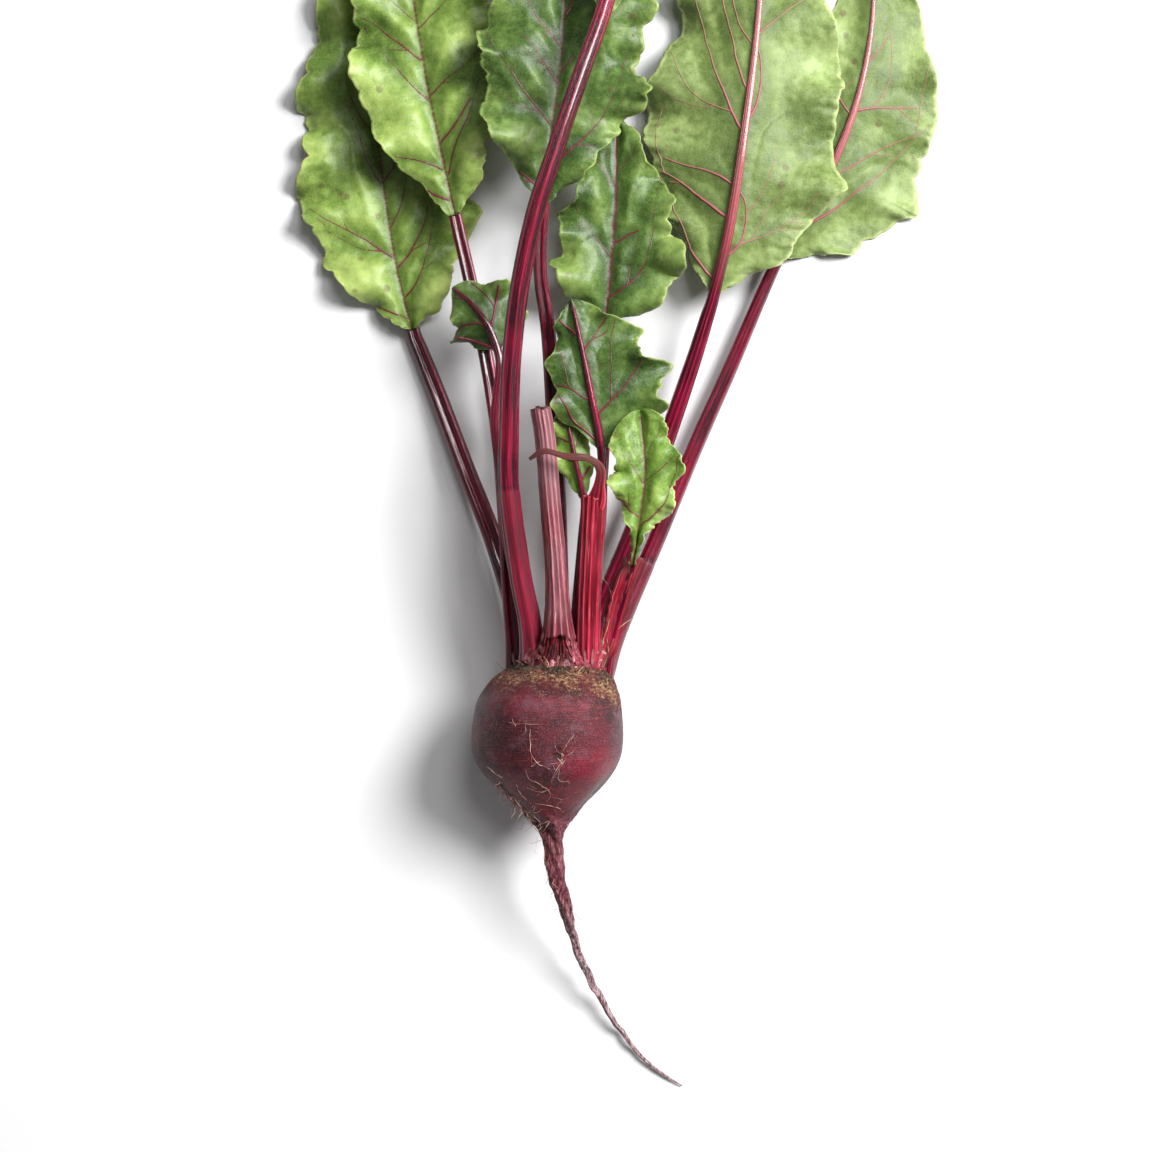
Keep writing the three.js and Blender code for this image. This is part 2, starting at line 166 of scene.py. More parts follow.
def new_material(name, constants):
    """A material with its Tree, its shader node and the place of each point in millimetres."""
    material = bpy.data.materials.new(name)
    material.use_nodes = True
    shader = material.node_tree.nodes["Principled BSDF"]
    for socket, value in constants.items():
        shader.inputs[socket].default_value = value
    tree = Tree(material.node_tree)
    place = tree.add("ShaderNodeTexCoord", None, None, out=3)
    return material, tree, shader, tree.stretch(place, (1 / MM,) * 3)


def attribute(tree, name, out=2):
    """A value stored on the piece: out is 2 for a number and 1 for a vector."""
    return tree.add("ShaderNodeAttribute", {"attribute_name": name}, None, out=out)


def finish_material(tree, shader, colour, roughness, height, depth):
    """Feeds the colour, the roughness and a bump of some millimetres to the shader."""
    tree.feed(shader.inputs["Base Color"], colour)
    tree.feed(shader.inputs["Roughness"], roughness)
    bump = tree.add("ShaderNodeBump", None, {"Height": height, "Distance": depth * MM, "Strength": 1.0})
    tree.feed(shader.inputs["Normal"], bump)


print("helpers for node trees are ready")

# %% [markdown]
# ## Meshes from arrays
# Leaves and the root are grids of points, and numpy works those out quickly. The helper below turns the
# arrays into a mesh with smooth faces, stores one named number on each point for the materials to read, and
# links the new object. Its object stays at the origin, and its place is in its mesh.


# %% Turn arrays into a piece
def new_object(name, data):
    """A new object at the origin, linked to the scene."""
    piece = bpy.data.objects.new(name, data)
    bpy.context.scene.collection.objects.link(piece)
    return piece


def mesh_piece(name, points, faces, materials, numbers):
    """A mesh object from points in millimetres. numbers holds a value for every point under each name."""
    mesh = bpy.data.meshes.new(name)
    mesh.from_pydata((points * MM).tolist(), [], faces)
    for material in materials:
        mesh.materials.append(material)
    for key, values in numbers.items():
        mesh.attributes.new(key, "FLOAT", "POINT").data.foreach_set("value", np.ravel(values))
    mesh.shade_smooth()
    return new_object(name, mesh)


def finished(piece, slot, *nodes):
    """Rides on the plant and stands in for its CAD nodes."""
    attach(piece, "root")
    if nodes:
        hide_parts(*nodes)
    return piece


def smooth(x, low, high):
    t = np.clip((x - low) / (high - low), 0, 1)
    return t * t * (3 - 2 * t)


def hill(x, width):
    """1 where x is 0, and near 0 beyond two widths."""
    return np.exp(-((x / width) ** 2))


def sheet_grid(first, last, rows, columns):
    """Two grids of numbers: from first to last along a sheet, and from -1 to 1 across it."""
    along = np.linspace(first, last, rows + 1)[:, None] * np.ones(columns + 1)
    return along, np.ones((rows + 1, 1)) * np.linspace(-1, 1, columns + 1)


def flat_tree(places):
    """A search tree over places by their x and y."""
    tree = kdtree.KDTree(len(places))
    for i, place in enumerate(places):
        tree.insert((place[0], place[1], 0), i)
    tree.balance()
    return tree


def bumps(points, size, seed=0):
    """Smooth noise from -1 to 1 at each point, with hills about as wide as size."""
    shift = Vector((seed * 17.3, seed * 5.1, seed * 29.7))
    flat = np.asarray(points).reshape(-1, np.shape(points)[-1]) / size
    if flat.shape[1] == 2:
        flat = np.column_stack([flat, np.zeros(len(flat))])
    values = [noise.noise(Vector(p) + shift) for p in flat.tolist()]
    return np.array(values).reshape(np.shape(points)[:-1])


# %% A smooth line through given points
def line_at(points, t):
    """Places on a smooth line through a list of points, where t runs from 0 to 1."""
    p = np.asarray(points, float)
    p = np.vstack([2 * p[0] - p[1], p, 2 * p[-1] - p[-2]])
    s = np.clip(np.asarray(t, float), 0, 1) * (len(p) - 3)
    i = np.minimum(s.astype(int), len(p) - 4)
    w = (s - i)[..., None]
    a, b, c, d = (p[i + k] for k in range(4))
    return 0.5 * (2 * b + (c - a) * w + (2 * a - 5 * b + 4 * c - d) * w**2 + (3 * b - a - 3 * c + d) * w**3)


def across(points, t):
    """The tangent, the side and the upper direction of that line at t."""
    tangent = line_at(points, np.add(t, 5e-4)) - line_at(points, np.subtract(t, 5e-4))
    tangent /= np.linalg.norm(tangent, axis=-1, keepdims=True)
    side = np.cross(tangent, (0, 0, 1))
    side /= np.linalg.norm(side, axis=-1, keepdims=True)
    return tangent, side, np.cross(side, tangent)


def normals_of(grid):
    """The direction that a grid of points faces, from the steps between its rows and its columns."""
    rows, columns = np.gradient(grid, axis=0), np.gradient(grid, axis=1)
    normal = np.cross(columns, rows)
    return normal / np.maximum(np.linalg.norm(normal, axis=-1, keepdims=True), 1e-9)


print("helpers for meshes are ready")

# %% [markdown]
# ## The leaves, as lines and widths
# A leaf is one line from its foot in the crown to its tip. The stalk follows it, runs on under the blade as
# its midrib, and the blade spreads to both sides. These are the sizes that the solids in the frame were made
# from: where the blade starts, which face looks up, the stalk's half widths, the blade's half widths, its
# fold, its waves and the lobes of its outline.

# %% Measures of the leaves
LONG_TIP = dict(wedge=1.15, tip=1.9, blunt=0.78)  # how slowly a blade widens and how bluntly it ends
ROUND_TIP = dict(wedge=2.4, tip=2.8, blunt=0.5)
LEAVES = {
    "long": dict(
        face=-1, start=10, half=(5.4, 4.3, 3.3), width=(36, 38), swell=(0.38, 0.45),
        fold=((-8, -22), (-8, -22)), wave=(4.6, 5.5), lobes=(0.07, 4.5),
        line=[(-5, 28, 35), (-7, 48, 39), (-11, 69, 42), (-15, 100, 46), (-15, 123, 48), (-14, 150, 50),
              (-11, 177, 52), (-5, 206, 54), (3, 231, 54), (13, 261, 52), (22, 287, 48), (32, 324, 42),
              (40, 360, 32), (46, 398, 19), (48, 433, 8)]),
    "middle": dict(
        face=1, start=6, half=(4.4, 3.3, 2.6), width=(33, 36), swell=(0.36, 0.4),
        fold=((14, 0), (14, -6)), wave=(4.8, 5.5), lobes=(0.07, 4.5),
        line=[(5, 27, 27), (5, 57, 26), (4, 97, 25), (2, 134, 26), (0, 164, 28), (-3, 187, 30),
              (-2, 213, 31), (1, 238, 32), (5, 270, 31), (7, 305, 27), (7, 341, 19), (5, 376, 8)]),
    "left": dict(
        face=1, start=6, half=(5, 4.1, 3.1), width=(35, 35), swell=(0.4, 0.32),
        fold=((10, -12), (10, -8)), wave=(4.8, 6), lobes=(0.08, 4.5),
        line=[(-5, 26, 19), (-13, 53, 15), (-22, 81, 10.5), (-33, 109, 7), (-44, 138, 4.6), (-52, 158, 3.6),
              (-55, 166, 3.5), (-61, 190, 3.4), (-66, 220, 3.3), (-70, 253, 3), (-74, 291, 2.5),
              (-77, 332, 1.6)]),
    "right": dict(
        face=-1, start=6, half=(5.2, 4.3, 2.6), width=(42, 41), swell=(0.42, 0.36),
        fold=((-6, -22), (-3, -10)), wave=(4.6, 5.5), lobes=(0.07, 4),
        line=[(12, 26, 13), (21, 53, 12), (34, 85, 12), (47, 121, 13), (57, 150, 15.5), (63, 169, 18),
              (66, 179, 20), (72, 205, 24), (77, 237, 26), (82, 274, 24), (86, 315, 17), (89, 355, 8)]),
    "far": dict(
        face=-1, start=6, half=(4.6, 3.8, 2.4), width=(33, 38), swell=(0.3, 0.34),
        fold=((-2, -4), (-4, -10)), wave=(3.8, 5.5), lobes=(0.06, 4),
        line=[(20, 26, 20), (31, 53, 15), (45, 85, 10.5), (60, 121, 8), (73, 150, 7), (85, 178, 7),
              (93, 195, 7), (105, 215, 7.5), (117, 238, 7.5), (126, 264, 7), (131, 294, 6), (131, 328, 4)]),
    "deep": dict(
        face=1, start=6, half=(4.2, 3.4, 2.8), width=(29, 31), swell=(0.38, 0.34),
        fold=((6, -6), (12, 0)), wave=(4, 5), lobes=(0.08, 4.5),
        line=[(-12, 27, 24), (-15, 57, 22), (-17, 90, 20), (-20, 124, 19), (-25, 155, 18.5),
              (-31, 184, 18.5), (-37, 210, 19), (-43, 238, 19.5), (-49, 268, 19), (-54, 299, 17),
              (-58, 331, 13), (-60, 362, 8)]),
    "lobed": dict(
        face=-1, start=3, half=(3.2, 2.3, 1.9), width=(16, 31), swell=(0.32, 0.24),
        fold=((2, 8), (2, 8)), wave=(3, 3.5), lobes=(0.13, 3.5),
        line=[(14, 27, 29), (17, 57, 32), (21, 89, 36), (21, 116, 39), (17, 138, 41), (13, 158, 40),
              (9, 176, 38)]),
    "under": dict(
        face=1, start=5, half=(3.4, 2.4, 1.8), width=(24, 29), swell=(0.34, 0.3),
        fold=((8, 0), (8, 0)), wave=(3.6, 4.5), lobes=(0.1, 3.5),
        line=[(14, 26, 21), (17, 57, 19), (21, 97, 16), (23, 129, 15.5), (23, 155, 15.5), (23, 168, 16),
              (25, 190, 17), (27, 218, 18), (27, 250, 17)]),
    "side": dict(
        face=-1, start=6, half=(3.2, 2.1, 1.6), width=(15, 18), swell=(0.3, 0.34),
        fold=((0, -12), (0, -12)), wave=(2.6, 3), lobes=(0.12, 2.5),
        line=[(-7, 27, 28), (-10, 53, 28), (-16, 81, 28), (-19, 109, 28), (-21, 128, 29), (-19, 148, 30),
              (-20, 156, 30), (-24, 166, 31), (-30, 174, 31), (-38, 181, 29)]),
    "bright": dict(
        face=1, start=3, half=(4.4, 3.6, 1.8), width=(14, 14.5), swell=(0.62, 0.56), shape=ROUND_TIP,
        fold=((14, -6), (14, -6)), wave=(2.6, 4), lobes=(0.12, 3.5),
        line=[(20, 26, 32), (25, 46, 36), (29, 59, 39), (33, 71, 41), (36, 89, 42), (38, 108, 43),
              (36, 132, 42)]),
    "curled": dict(
        face=-1, start=3, half=(2.6, 1.7, 1.3), width=(8.5, 7.5), swell=(0.34, 0.4),
        fold=((4, -12), (4, -12)), wave=(2.1, 3), lobes=(0.12, 2.5),
        line=[(9, 27, 33), (11, 57, 34), (13, 81, 34.5), (14, 97, 35), (11, 112, 36), (8, 126, 36.5),
              (5, 135, 36)]),
}
MIDRIB_SHARE = 0.9  # how far the midrib runs along its blade
MIDRIB_TIP = 0.4
FOOT_SHARE = 0.1  # the share of a stalk over which its foot narrows
BLADE_THICK = 0.45
PHASES = (0.9, 2.6)  # where the waves and lobes begin on each side of a blade


# %% How wide a stalk is along its length
def stalk_half(half, along, midrib):
    """Half width: along runs over the stalk, and midrib over the blade that follows it."""
    foot, mid, top = half
    stalk = mid + (foot - mid) * np.exp(-along / FOOT_SHARE) + (top - mid) * along**2
    rib = MIDRIB_TIP + (top - MIDRIB_TIP) * np.maximum(1 - midrib, 0) ** 0.8
    return np.where(midrib > 0, rib, stalk)


def blade_start(leaf):
    return leaf["start"] / (len(leaf["line"]) - 1)


print("leaves:", len(LEAVES))

# %% [markdown]
# ## The middle surface of a blade
# Each half of a blade is an arc that starts with one slope at the midrib and ends with another at the
# margin. Waves grow towards the margin, because there the leaf has more tissue than its outline has room
# for. Large waves are the ones of the solid. The smaller ones and the fine notches are added further on.


# %% Shape of a blade, without its veins
def blade_width(leaf, u, v):
    """Half width of the blade at u along it, on the side of v, with its lobes."""
    kind = leaf.get("shape", LONG_TIP)
    reach = np.where(v < 0, *leaf["swell"])
    widening = np.sin(np.pi / 2 * np.clip(u / reach, 0, 1)) ** kind["wedge"]
    past = np.maximum(0, (u - reach) / (1 - reach))
    shape = widening * np.maximum(0, 1 - past ** kind["tip"]) ** kind["blunt"]
    phase = np.where(v < 0, *PHASES)
    height, count = leaf["lobes"]
    lobes = 1 + height * np.sin(2 * np.pi * count * u + 2 * phase)
    lobes -= 0.3 * height * (1 + np.sin(2 * np.pi * 2.3 * count * u + phase))
    foot = 0.8 * leaf["half"][2] * (1 - smooth(u, 0, 0.25))
    return np.where(v < 0, *leaf["width"]) * shape * lobes + foot


def blade_middle(leaf, u, v):
    """Points of the blade's middle surface for grids of u, from foot to tip, and v, from -1 to 1 across."""
    start = blade_start(leaf)
    t = start + u * (1 - start)
    _, side, up = across(leaf["line"], t)
    hand = np.where(v < 0, -1.0, 1.0)
    phase = np.where(v < 0, *PHASES)
    width = blade_width(leaf, u, v)
    folds = np.radians(leaf["fold"])
    inner = np.where(v < 0, folds[0, 0], folds[1, 0])
    outer = np.where(v < 0, folds[0, 1], folds[1, 1])
    away = np.abs(v)
    slope = inner + (outer - inner) * away
    sideways = width * (np.sin(slope) - np.sin(inner)) / (outer - inner)
    rise = width * (np.cos(inner) - np.cos(slope)) / (outer - inner)
    height, count = leaf["wave"]
    turn = 2 * np.pi * count * u + phase
    swing = np.sin(turn) + 0.3 * np.sin(1.7 * turn + phase)
    wave = height * away**2.2 * np.sqrt(np.sin(np.pi * u)) * swing
    rib = 0.84 * stalk_half(leaf["half"], 1.0, np.minimum(u, MIDRIB_SHARE) + 1e-9)
    sunk = 0.78 if leaf["face"] > 0 else 0.45
    offset = leaf["face"] * (sunk * rib + 1.2 * smooth(away, 0, 0.5))
    points = line_at(leaf["line"], t)
    points = points + (hand * (sideways - wave * np.sin(slope)))[..., None] * side
    return points + (offset + rise + wave * np.cos(slope))[..., None] * up


print("blade surface is ready")

# %% [markdown]
# ## Veins
# Side veins leave the midrib in turn to the left and the right, bend towards the tip, and fork before they
# reach the margin. They are grown step by step on the flat leaf, where across and along are millimetres, with
# a fixed seed for each leaf. The same lines then do two jobs: they pull the surface into a quilt, and they
# become thin round tubes.


# %% Grow the veins of one leaf
VEIN_STEP = 1.2
VEIN_ROOM = 2.2  # a vein stops where another one is this near


def vein_cell(x, y):
    return round(x / VEIN_ROOM), round(y / VEIN_ROOM)


def grow_vein(leaf, length, rng, start, heading, width, order, taken, found):
    """Grows one vein and its forks. heading is its angle from the midrib, in radians."""
    x, y = start
    hand = 1.0 if heading > 0 else -1.0
    path = [(x, y, width)]
    own = {vein_cell(x, y)}
    forks = []
    next_fork = rng.uniform(4, 9 if order == 1 else 8)
    travelled = 0.0
    drift = rng.normal(0, 0.014)
    while width > 0.2:
        heading += drift - hand * 0.012 * (abs(heading) > 0.35) + rng.normal(0, 0.05)
        x += math.sin(heading) * VEIN_STEP
        y += math.cos(heading) * VEIN_STEP
        cell = vein_cell(x, y)
        reach = float(blade_width(leaf, np.array(min(max(y / length, 0), 0.98)), np.array(hand)))
        outside = x * hand < 1 or abs(x) > 0.93 * reach or y > 0.97 * length or y < 0
        if outside or (cell in taken and cell not in own):
            break
        own.add(cell)
        travelled += VEIN_STEP
        width *= 0.976 if order == 1 else 0.962
        path.append((x, y, width))
        if travelled > next_fork and order < 3:
            turn = rng.uniform(0.5, 0.8) * (hand if rng.random() < 0.55 else -hand)
            forks.append(((x, y), heading + turn, width * 0.72))
            next_fork = travelled + rng.uniform(5, 12)
    taken |= own
    if len(path) > 3:
        found.append(np.array(path))
        for place, turned, thin in forks:
            grow_vein(leaf, length, rng, place, turned, thin, order + 1, taken, found)


def leaf_veins(leaf, length, seed):
    """All side veins of a leaf as lines of (across, along, width) on the flat leaf."""
    rng = np.random.default_rng(seed)
    found = []
    taken = set()
    size = sum(leaf["width"]) / 70
    spacing = 24 * size**0.6
    for hand in (-1, 1):
        y = 0.05 * length + (0 if hand < 0 else 0.5 * spacing)
        while y < 0.9 * length:
            lean = math.radians(54 - 22 * y / length + rng.uniform(-14, 14)) * hand
            width = (1.6 - 0.9 * y / length) * size**0.15 * rng.uniform(0.7, 1.1)
            grow_vein(leaf, length, rng, (1.1 * hand, y), lean, width, 1, taken, found)
            y += spacing * rng.uniform(0.55, 1.4)
    return found


print("vein rules are ready")

# %% [markdown]
# ## One blade: surface, quilt and skins
# The lamina between the veins swells to the leaf's inner side, so veins lie in valleys there and stand out
# underneath. A search tree gives the distance from every point to its nearest vein, and that distance drives
# the swelling. The finished middle surface is then offset to both sides and closed round the rim.

# %% Sizes of the fine relief
QUILT = 2.4  # how far the lamina swells between veins
QUILT_REACH = 6.0  # and over what distance from a vein
ROLL = 3.5  # broad uneven rolls of the lamina
ROLL_SIZE = 28
RIPPLES = ((14.0, 2.4), (7.0, 2.4), (3.8, 0.9))  # length and height of the ripples of the margin
SCALLOPS = ((13.0, 2.0), (5.2, 1.1))  # length and depth of the notches between the lobes of the margin
LEFTMOST = -102.2  # where the box of the solids ends, less half the blade's thickness
FARTHEST = 430.6
LOWEST = 0.55  # height of a blade's middle surface where it lies on the floor
FIRST_U, LAST_U = 0.004, 0.994  # a blade's grid starts just past its foot and ends short of its tip
RIB_PLACES = 90  # how many places stand for the midrib in the search for the nearest vein
RIB_REACH = 0.95
RIB_WIDTH = 2.0


def blade_length(leaf):
    t = np.linspace(blade_start(leaf), 1, 60)
    return float(np.linalg.norm(np.diff(line_at(leaf["line"], t), axis=0), axis=1).sum())


def above_floor(z, lowest):
    """Flattens what would dip below the floor."""
    return lowest + np.logaddexp(0, (z - lowest) / 0.8) * 0.8


def blade_sheet(leaf, seed, step):
    """The blade's middle surface as a grid, the numbers for its materials, and its veins in 3D."""
    length = blade_length(leaf)
    size = min(1.0, sum(leaf["width"]) / 64)
    rows = int(length / step)
    columns = int(sum(leaf["width"]) / step)
    u, v = sheet_grid(FIRST_U, LAST_U, rows, columns)
    width = blade_width(leaf, u, v)
    flat = np.stack([v * width, u * length], axis=-1)
    veins = leaf_veins(leaf, length, seed)

    lines = np.vstack([vein[:, :2] for vein in veins])
    rib = np.column_stack([np.zeros(RIB_PLACES), np.linspace(0, RIB_REACH * length, RIB_PLACES)])
    widths = np.concatenate([vein[:, 2] for vein in veins] + [np.full(RIB_PLACES, RIB_WIDTH)])
    tree = flat_tree(np.vstack([lines, rib]))
    hits = [tree.find((x, y, 0)) for x, y in flat.reshape(-1, 2)]
    distance = np.array([hit[2] for hit in hits]).reshape(u.shape)
    near_width = widths[[hit[1] for hit in hits]].reshape(u.shape)

    away = np.abs(v)
    margin = smooth(away, 0.4, 1.0)
    flatter = 0.6 if leaf["face"] < 0 else 1.0
    swelling = QUILT * size * flatter * (1 - hill(distance, QUILT_REACH * size))
    swelling *= np.minimum(1, 0.35 + near_width) * smooth(width, 2, 14) * (1 - 0.3 * margin)
    rolls = ROLL * size * bumps(flat, ROLL_SIZE * size, seed) * smooth(away, 0.05, 0.5)
    small = 0.6 * size * flatter * bumps(flat, 6.5 * size, seed + 50)
    small += 0.22 * size * bumps(flat, 2.9 * size, seed + 60)

    hand = np.where(v < 0, -1.0, 1.0)
    walk = flat[..., 1] / size + 400 * hand
    calm = 0.55 + 0.9 * bumps(np.stack([walk / 40, hand], -1), 1.0, seed + 7)
    ripple = 0
    for span, height in RIPPLES:
        wave = bumps(np.stack([walk / span * 2, away * 0.6 + hand], -1), 1.0, seed + span)
        ripple = ripple + height * size * margin**1.7 * wave * np.clip(calm, 0.15, 1)
    side_shift = 0.45 * ripple * margin
    for span, depth in SCALLOPS:
        jitter = 0.9 * bumps(np.stack([walk / span * 0.7, hand], -1), 1.0, seed + 3 + span)
        notch = (1 - np.abs(np.sin(np.pi * (walk / span + jitter)))) ** 2.2
        cut = depth * size**0.5 * flatter * notch * margin**3
        side_shift = side_shift - cut * np.clip(calm + 0.3, 0.3, 1)
    middle = blade_middle(leaf, u, v)
    _, side, _ = across(leaf["line"], blade_start(leaf) + u * (1 - blade_start(leaf)))
    middle = middle + (hand * side_shift)[..., None] * side
    relief = swelling + rolls + small + ripple
    middle = middle + relief[..., None] * leaf["face"] * normals_of(middle)
    middle[..., 0] = np.maximum(middle[..., 0], LEFTMOST)
    middle[..., 1] = np.minimum(middle[..., 1], FARTHEST)
    middle[..., 2] = above_floor(middle[..., 2], LOWEST)

    vein_lines = []
    outer = normals_of(middle) * -leaf["face"]
    for vein in veins:
        at_u = np.clip(vein[:, 1] / length, FIRST_U, LAST_U)
        half = blade_width(leaf, at_u, vein[:, 0])
        at_v = np.clip(vein[:, 0] / half, -0.98, 0.98)
        row = (at_u - FIRST_U) / (LAST_U - FIRST_U) * rows
        column = (at_v + 1) / 2 * columns
        i = np.minimum(row.astype(int), rows - 1)
        j = np.minimum(column.astype(int), columns - 1)
        a, b = (row - i)[:, None], (column - j)[:, None]
        centre = 0
        for grid, weight in ((middle, 1.0), (outer, 0.14 * vein[:, 2:])):
            corner = (1 - a) * ((1 - b) * grid[i, j] + b * grid[i, j + 1])
            corner = corner + a * ((1 - b) * grid[i + 1, j] + b * grid[i + 1, j + 1])
            centre = centre + corner * weight
        vein_lines.append((centre, BLADE_THICK / 2 + 0.3 * vein[:, 2] - 0.04))
    numbers = {
        "vein": hill(distance, 0.3 + 0.4 * near_width) * np.clip(near_width, 0.35, 1),
        # painted shade: a darker green next to the veins, where the lamina dips into valleys on its inner
        # side
        "vein_valley_shade": hill(distance, 3.2) * np.clip(near_width, 0.2, 1),
        "margin": away,
        # swell also paints a lighter green on the swellings of the lamina, which is painted light
        "swell": (swelling + small) / QUILT,
    }
    return middle, numbers, vein_lines


# %% Close a sheet into a body with two skins
def closed_sheet(middle, thick):
    """Points and faces of a sheet offset to both sides: its upper skin, its lower skin, then its rim."""
    rows, columns = middle.shape[0] - 1, middle.shape[1] - 1
    normal = normals_of(middle)
    upper = middle + thick[..., None] * normal
    lower = middle - thick[..., None] * normal
    count = upper[..., 0].size
    ids = np.arange(count).reshape(rows + 1, columns + 1)
    a, b = ids[:-1, :-1].ravel(), ids[:-1, 1:].ravel()
    c, d = ids[1:, 1:].ravel(), ids[1:, :-1].ravel()
    top = np.stack([a, b, c, d], -1)
    under = np.stack([a, d, c, b], -1) + count
    rim = np.concatenate([ids[0, :-1], ids[:-1, -1], ids[-1, :0:-1], ids[:0:-1, 0]])
    ahead = np.roll(rim, -1)
    wall = np.stack([rim, rim + count, ahead + count, ahead], -1)
    points = np.vstack([upper.reshape(-1, 3), lower.reshape(-1, 3)])
    return points, np.vstack([top, under, wall]), len(top)


def blade_piece(name, middle, numbers, materials, face):
    """Closes a blade. materials are for the leaf's inner and outer skin."""
    thick = BLADE_THICK / 2 * (1 - 0.55 * numbers["margin"] ** 10)
    points, faces, skin_faces = closed_sheet(middle, thick)
    both = {key: np.concatenate([np.ravel(value)] * 2) for key, value in numbers.items()}
    piece = mesh_piece(name, points, faces.tolist(), materials, both)
    skin = np.zeros(len(faces), int)
    skin[skin_faces:2 * skin_faces] = 1
    if face < 0:
        skin = 1 - skin
    piece.data.polygons.foreach_set("material_index", skin)
    return piece


print("blade builder is ready")

# %% [markdown]
# ## Geometry Nodes for what follows a path
# Stalks, veins and fine roots are all round things swept along a line, so two small node groups make them.
# Each group is built once with named inputs. `run_nodes` sets them by the socket's identifier, evaluates the
# modifier, keeps the result as a plain mesh and removes the source.


# %% Build and run a node group
def new_nodes(name, inputs):
    """A geometry group with a Geometry input and output. inputs maps a name to its socket type and value."""
    group = bpy.data.node_groups.new(name, "GeometryNodeTree")
    group.interface.new_socket("Geometry", in_out="INPUT", socket_type="NodeSocketGeometry")
    group.interface.new_socket("Geometry", in_out="OUTPUT", socket_type="NodeSocketGeometry")
    for key, (kind, value) in inputs.items():
        socket = group.interface.new_socket(key, in_out="INPUT", socket_type="NodeSocket" + kind)
        if value is not None:
            socket.default_value = value
    tree = Tree(group)
    given = {s.name: Sock(tree, s) for s in group.nodes.new("NodeGroupInput").outputs if s.name}
    return group, tree, given


def end_nodes(tree, geometry, material):
    """Realizes instances, sets the material and closes the group."""
    geometry = tree.add("GeometryNodeRealizeInstances", None, {"Geometry": geometry})
    geometry = tree.add("GeometryNodeSetMaterial", None, {"Geometry": geometry, "Material": material})
    tree.feed(tree.tree.nodes.new("NodeGroupOutput").inputs[0], geometry)


def run_nodes(name, source, group, values):
    """The group's result on a source object, as a new plain mesh object."""
    modifier = source.modifiers.new("nodes", "NODES")
    modifier.node_group = group
    for item in group.interface.items_tree:
        if item.in_out == "INPUT" and item.name in values:
            modifier[item.identifier] = values[item.name]
    graph = bpy.context.evaluated_depsgraph_get()
    shaped = source.evaluated_get(graph)
    mesh = bpy.data.meshes.new_from_object(shaped, preserve_all_data_layers=True, depsgraph=graph)
    bpy.data.objects.remove(source)
    mesh.name = name
    mesh.shade_smooth()
    return new_object(name, mesh)


def named(tree, name, kind="FLOAT"):
    """A named attribute inside a geometry group."""
    return tree.add("GeometryNodeInputNamedAttribute", {"data_type": kind}, {"Name": name})


def circle_of(tree, sides):
    return tree.add("GeometryNodeCurvePrimitiveCircle", None, {"Resolution": sides, "Radius": 1.0})


def sweep(tree, curve, profile, radius):
    """Sweeps a profile along a curve, scaled by a radius in metres, and closes the ends."""
    values = {"Curve": curve, "Profile Curve": profile, "Scale": radius, "Fill Caps": True}
    return tree.add("GeometryNodeCurveToMesh", None, values)


def random_vector(tree, given, low, high):
    values = {0: low, 1: high, "Seed": given["Seed"]}
    return tree.add("FunctionNodeRandomValue", {"data_type": "FLOAT_VECTOR"}, values)


def scattered(tree, given, density):
    """Random points on the source's faces. density is their number on a square millimetre."""
    values = {"Mesh": given["Geometry"], "Density": density / (MM * MM), "Seed": given["Seed"]}
    return tree.add("GeometryNodeDistributePointsOnFaces", {"distribute_method": "RANDOM"}, values)


def wire(name, lines, **numbers):
    """An object of bare edges along lines of points, with one value a point under each name."""
    mesh = bpy.data.meshes.new(name)
    points = np.vstack(lines) * MM
    starts = np.cumsum([0] + [len(line) for line in lines])
    edges = [(k, k + 1) for a, b in zip(starts[:-1], starts[1:]) for k in range(a, b - 1)]
    mesh.from_pydata(points.tolist(), edges, [])
    for key, values in numbers.items():
        flat = np.concatenate([np.ravel(value) for value in values])
        kind = "FLOAT" if len(flat) == len(points) else "FLOAT_VECTOR"
        data = mesh.attributes.new(key, kind, "POINT").data
        data.foreach_set("value" if kind == "FLOAT" else "vector", flat)
    return new_object(name, mesh)


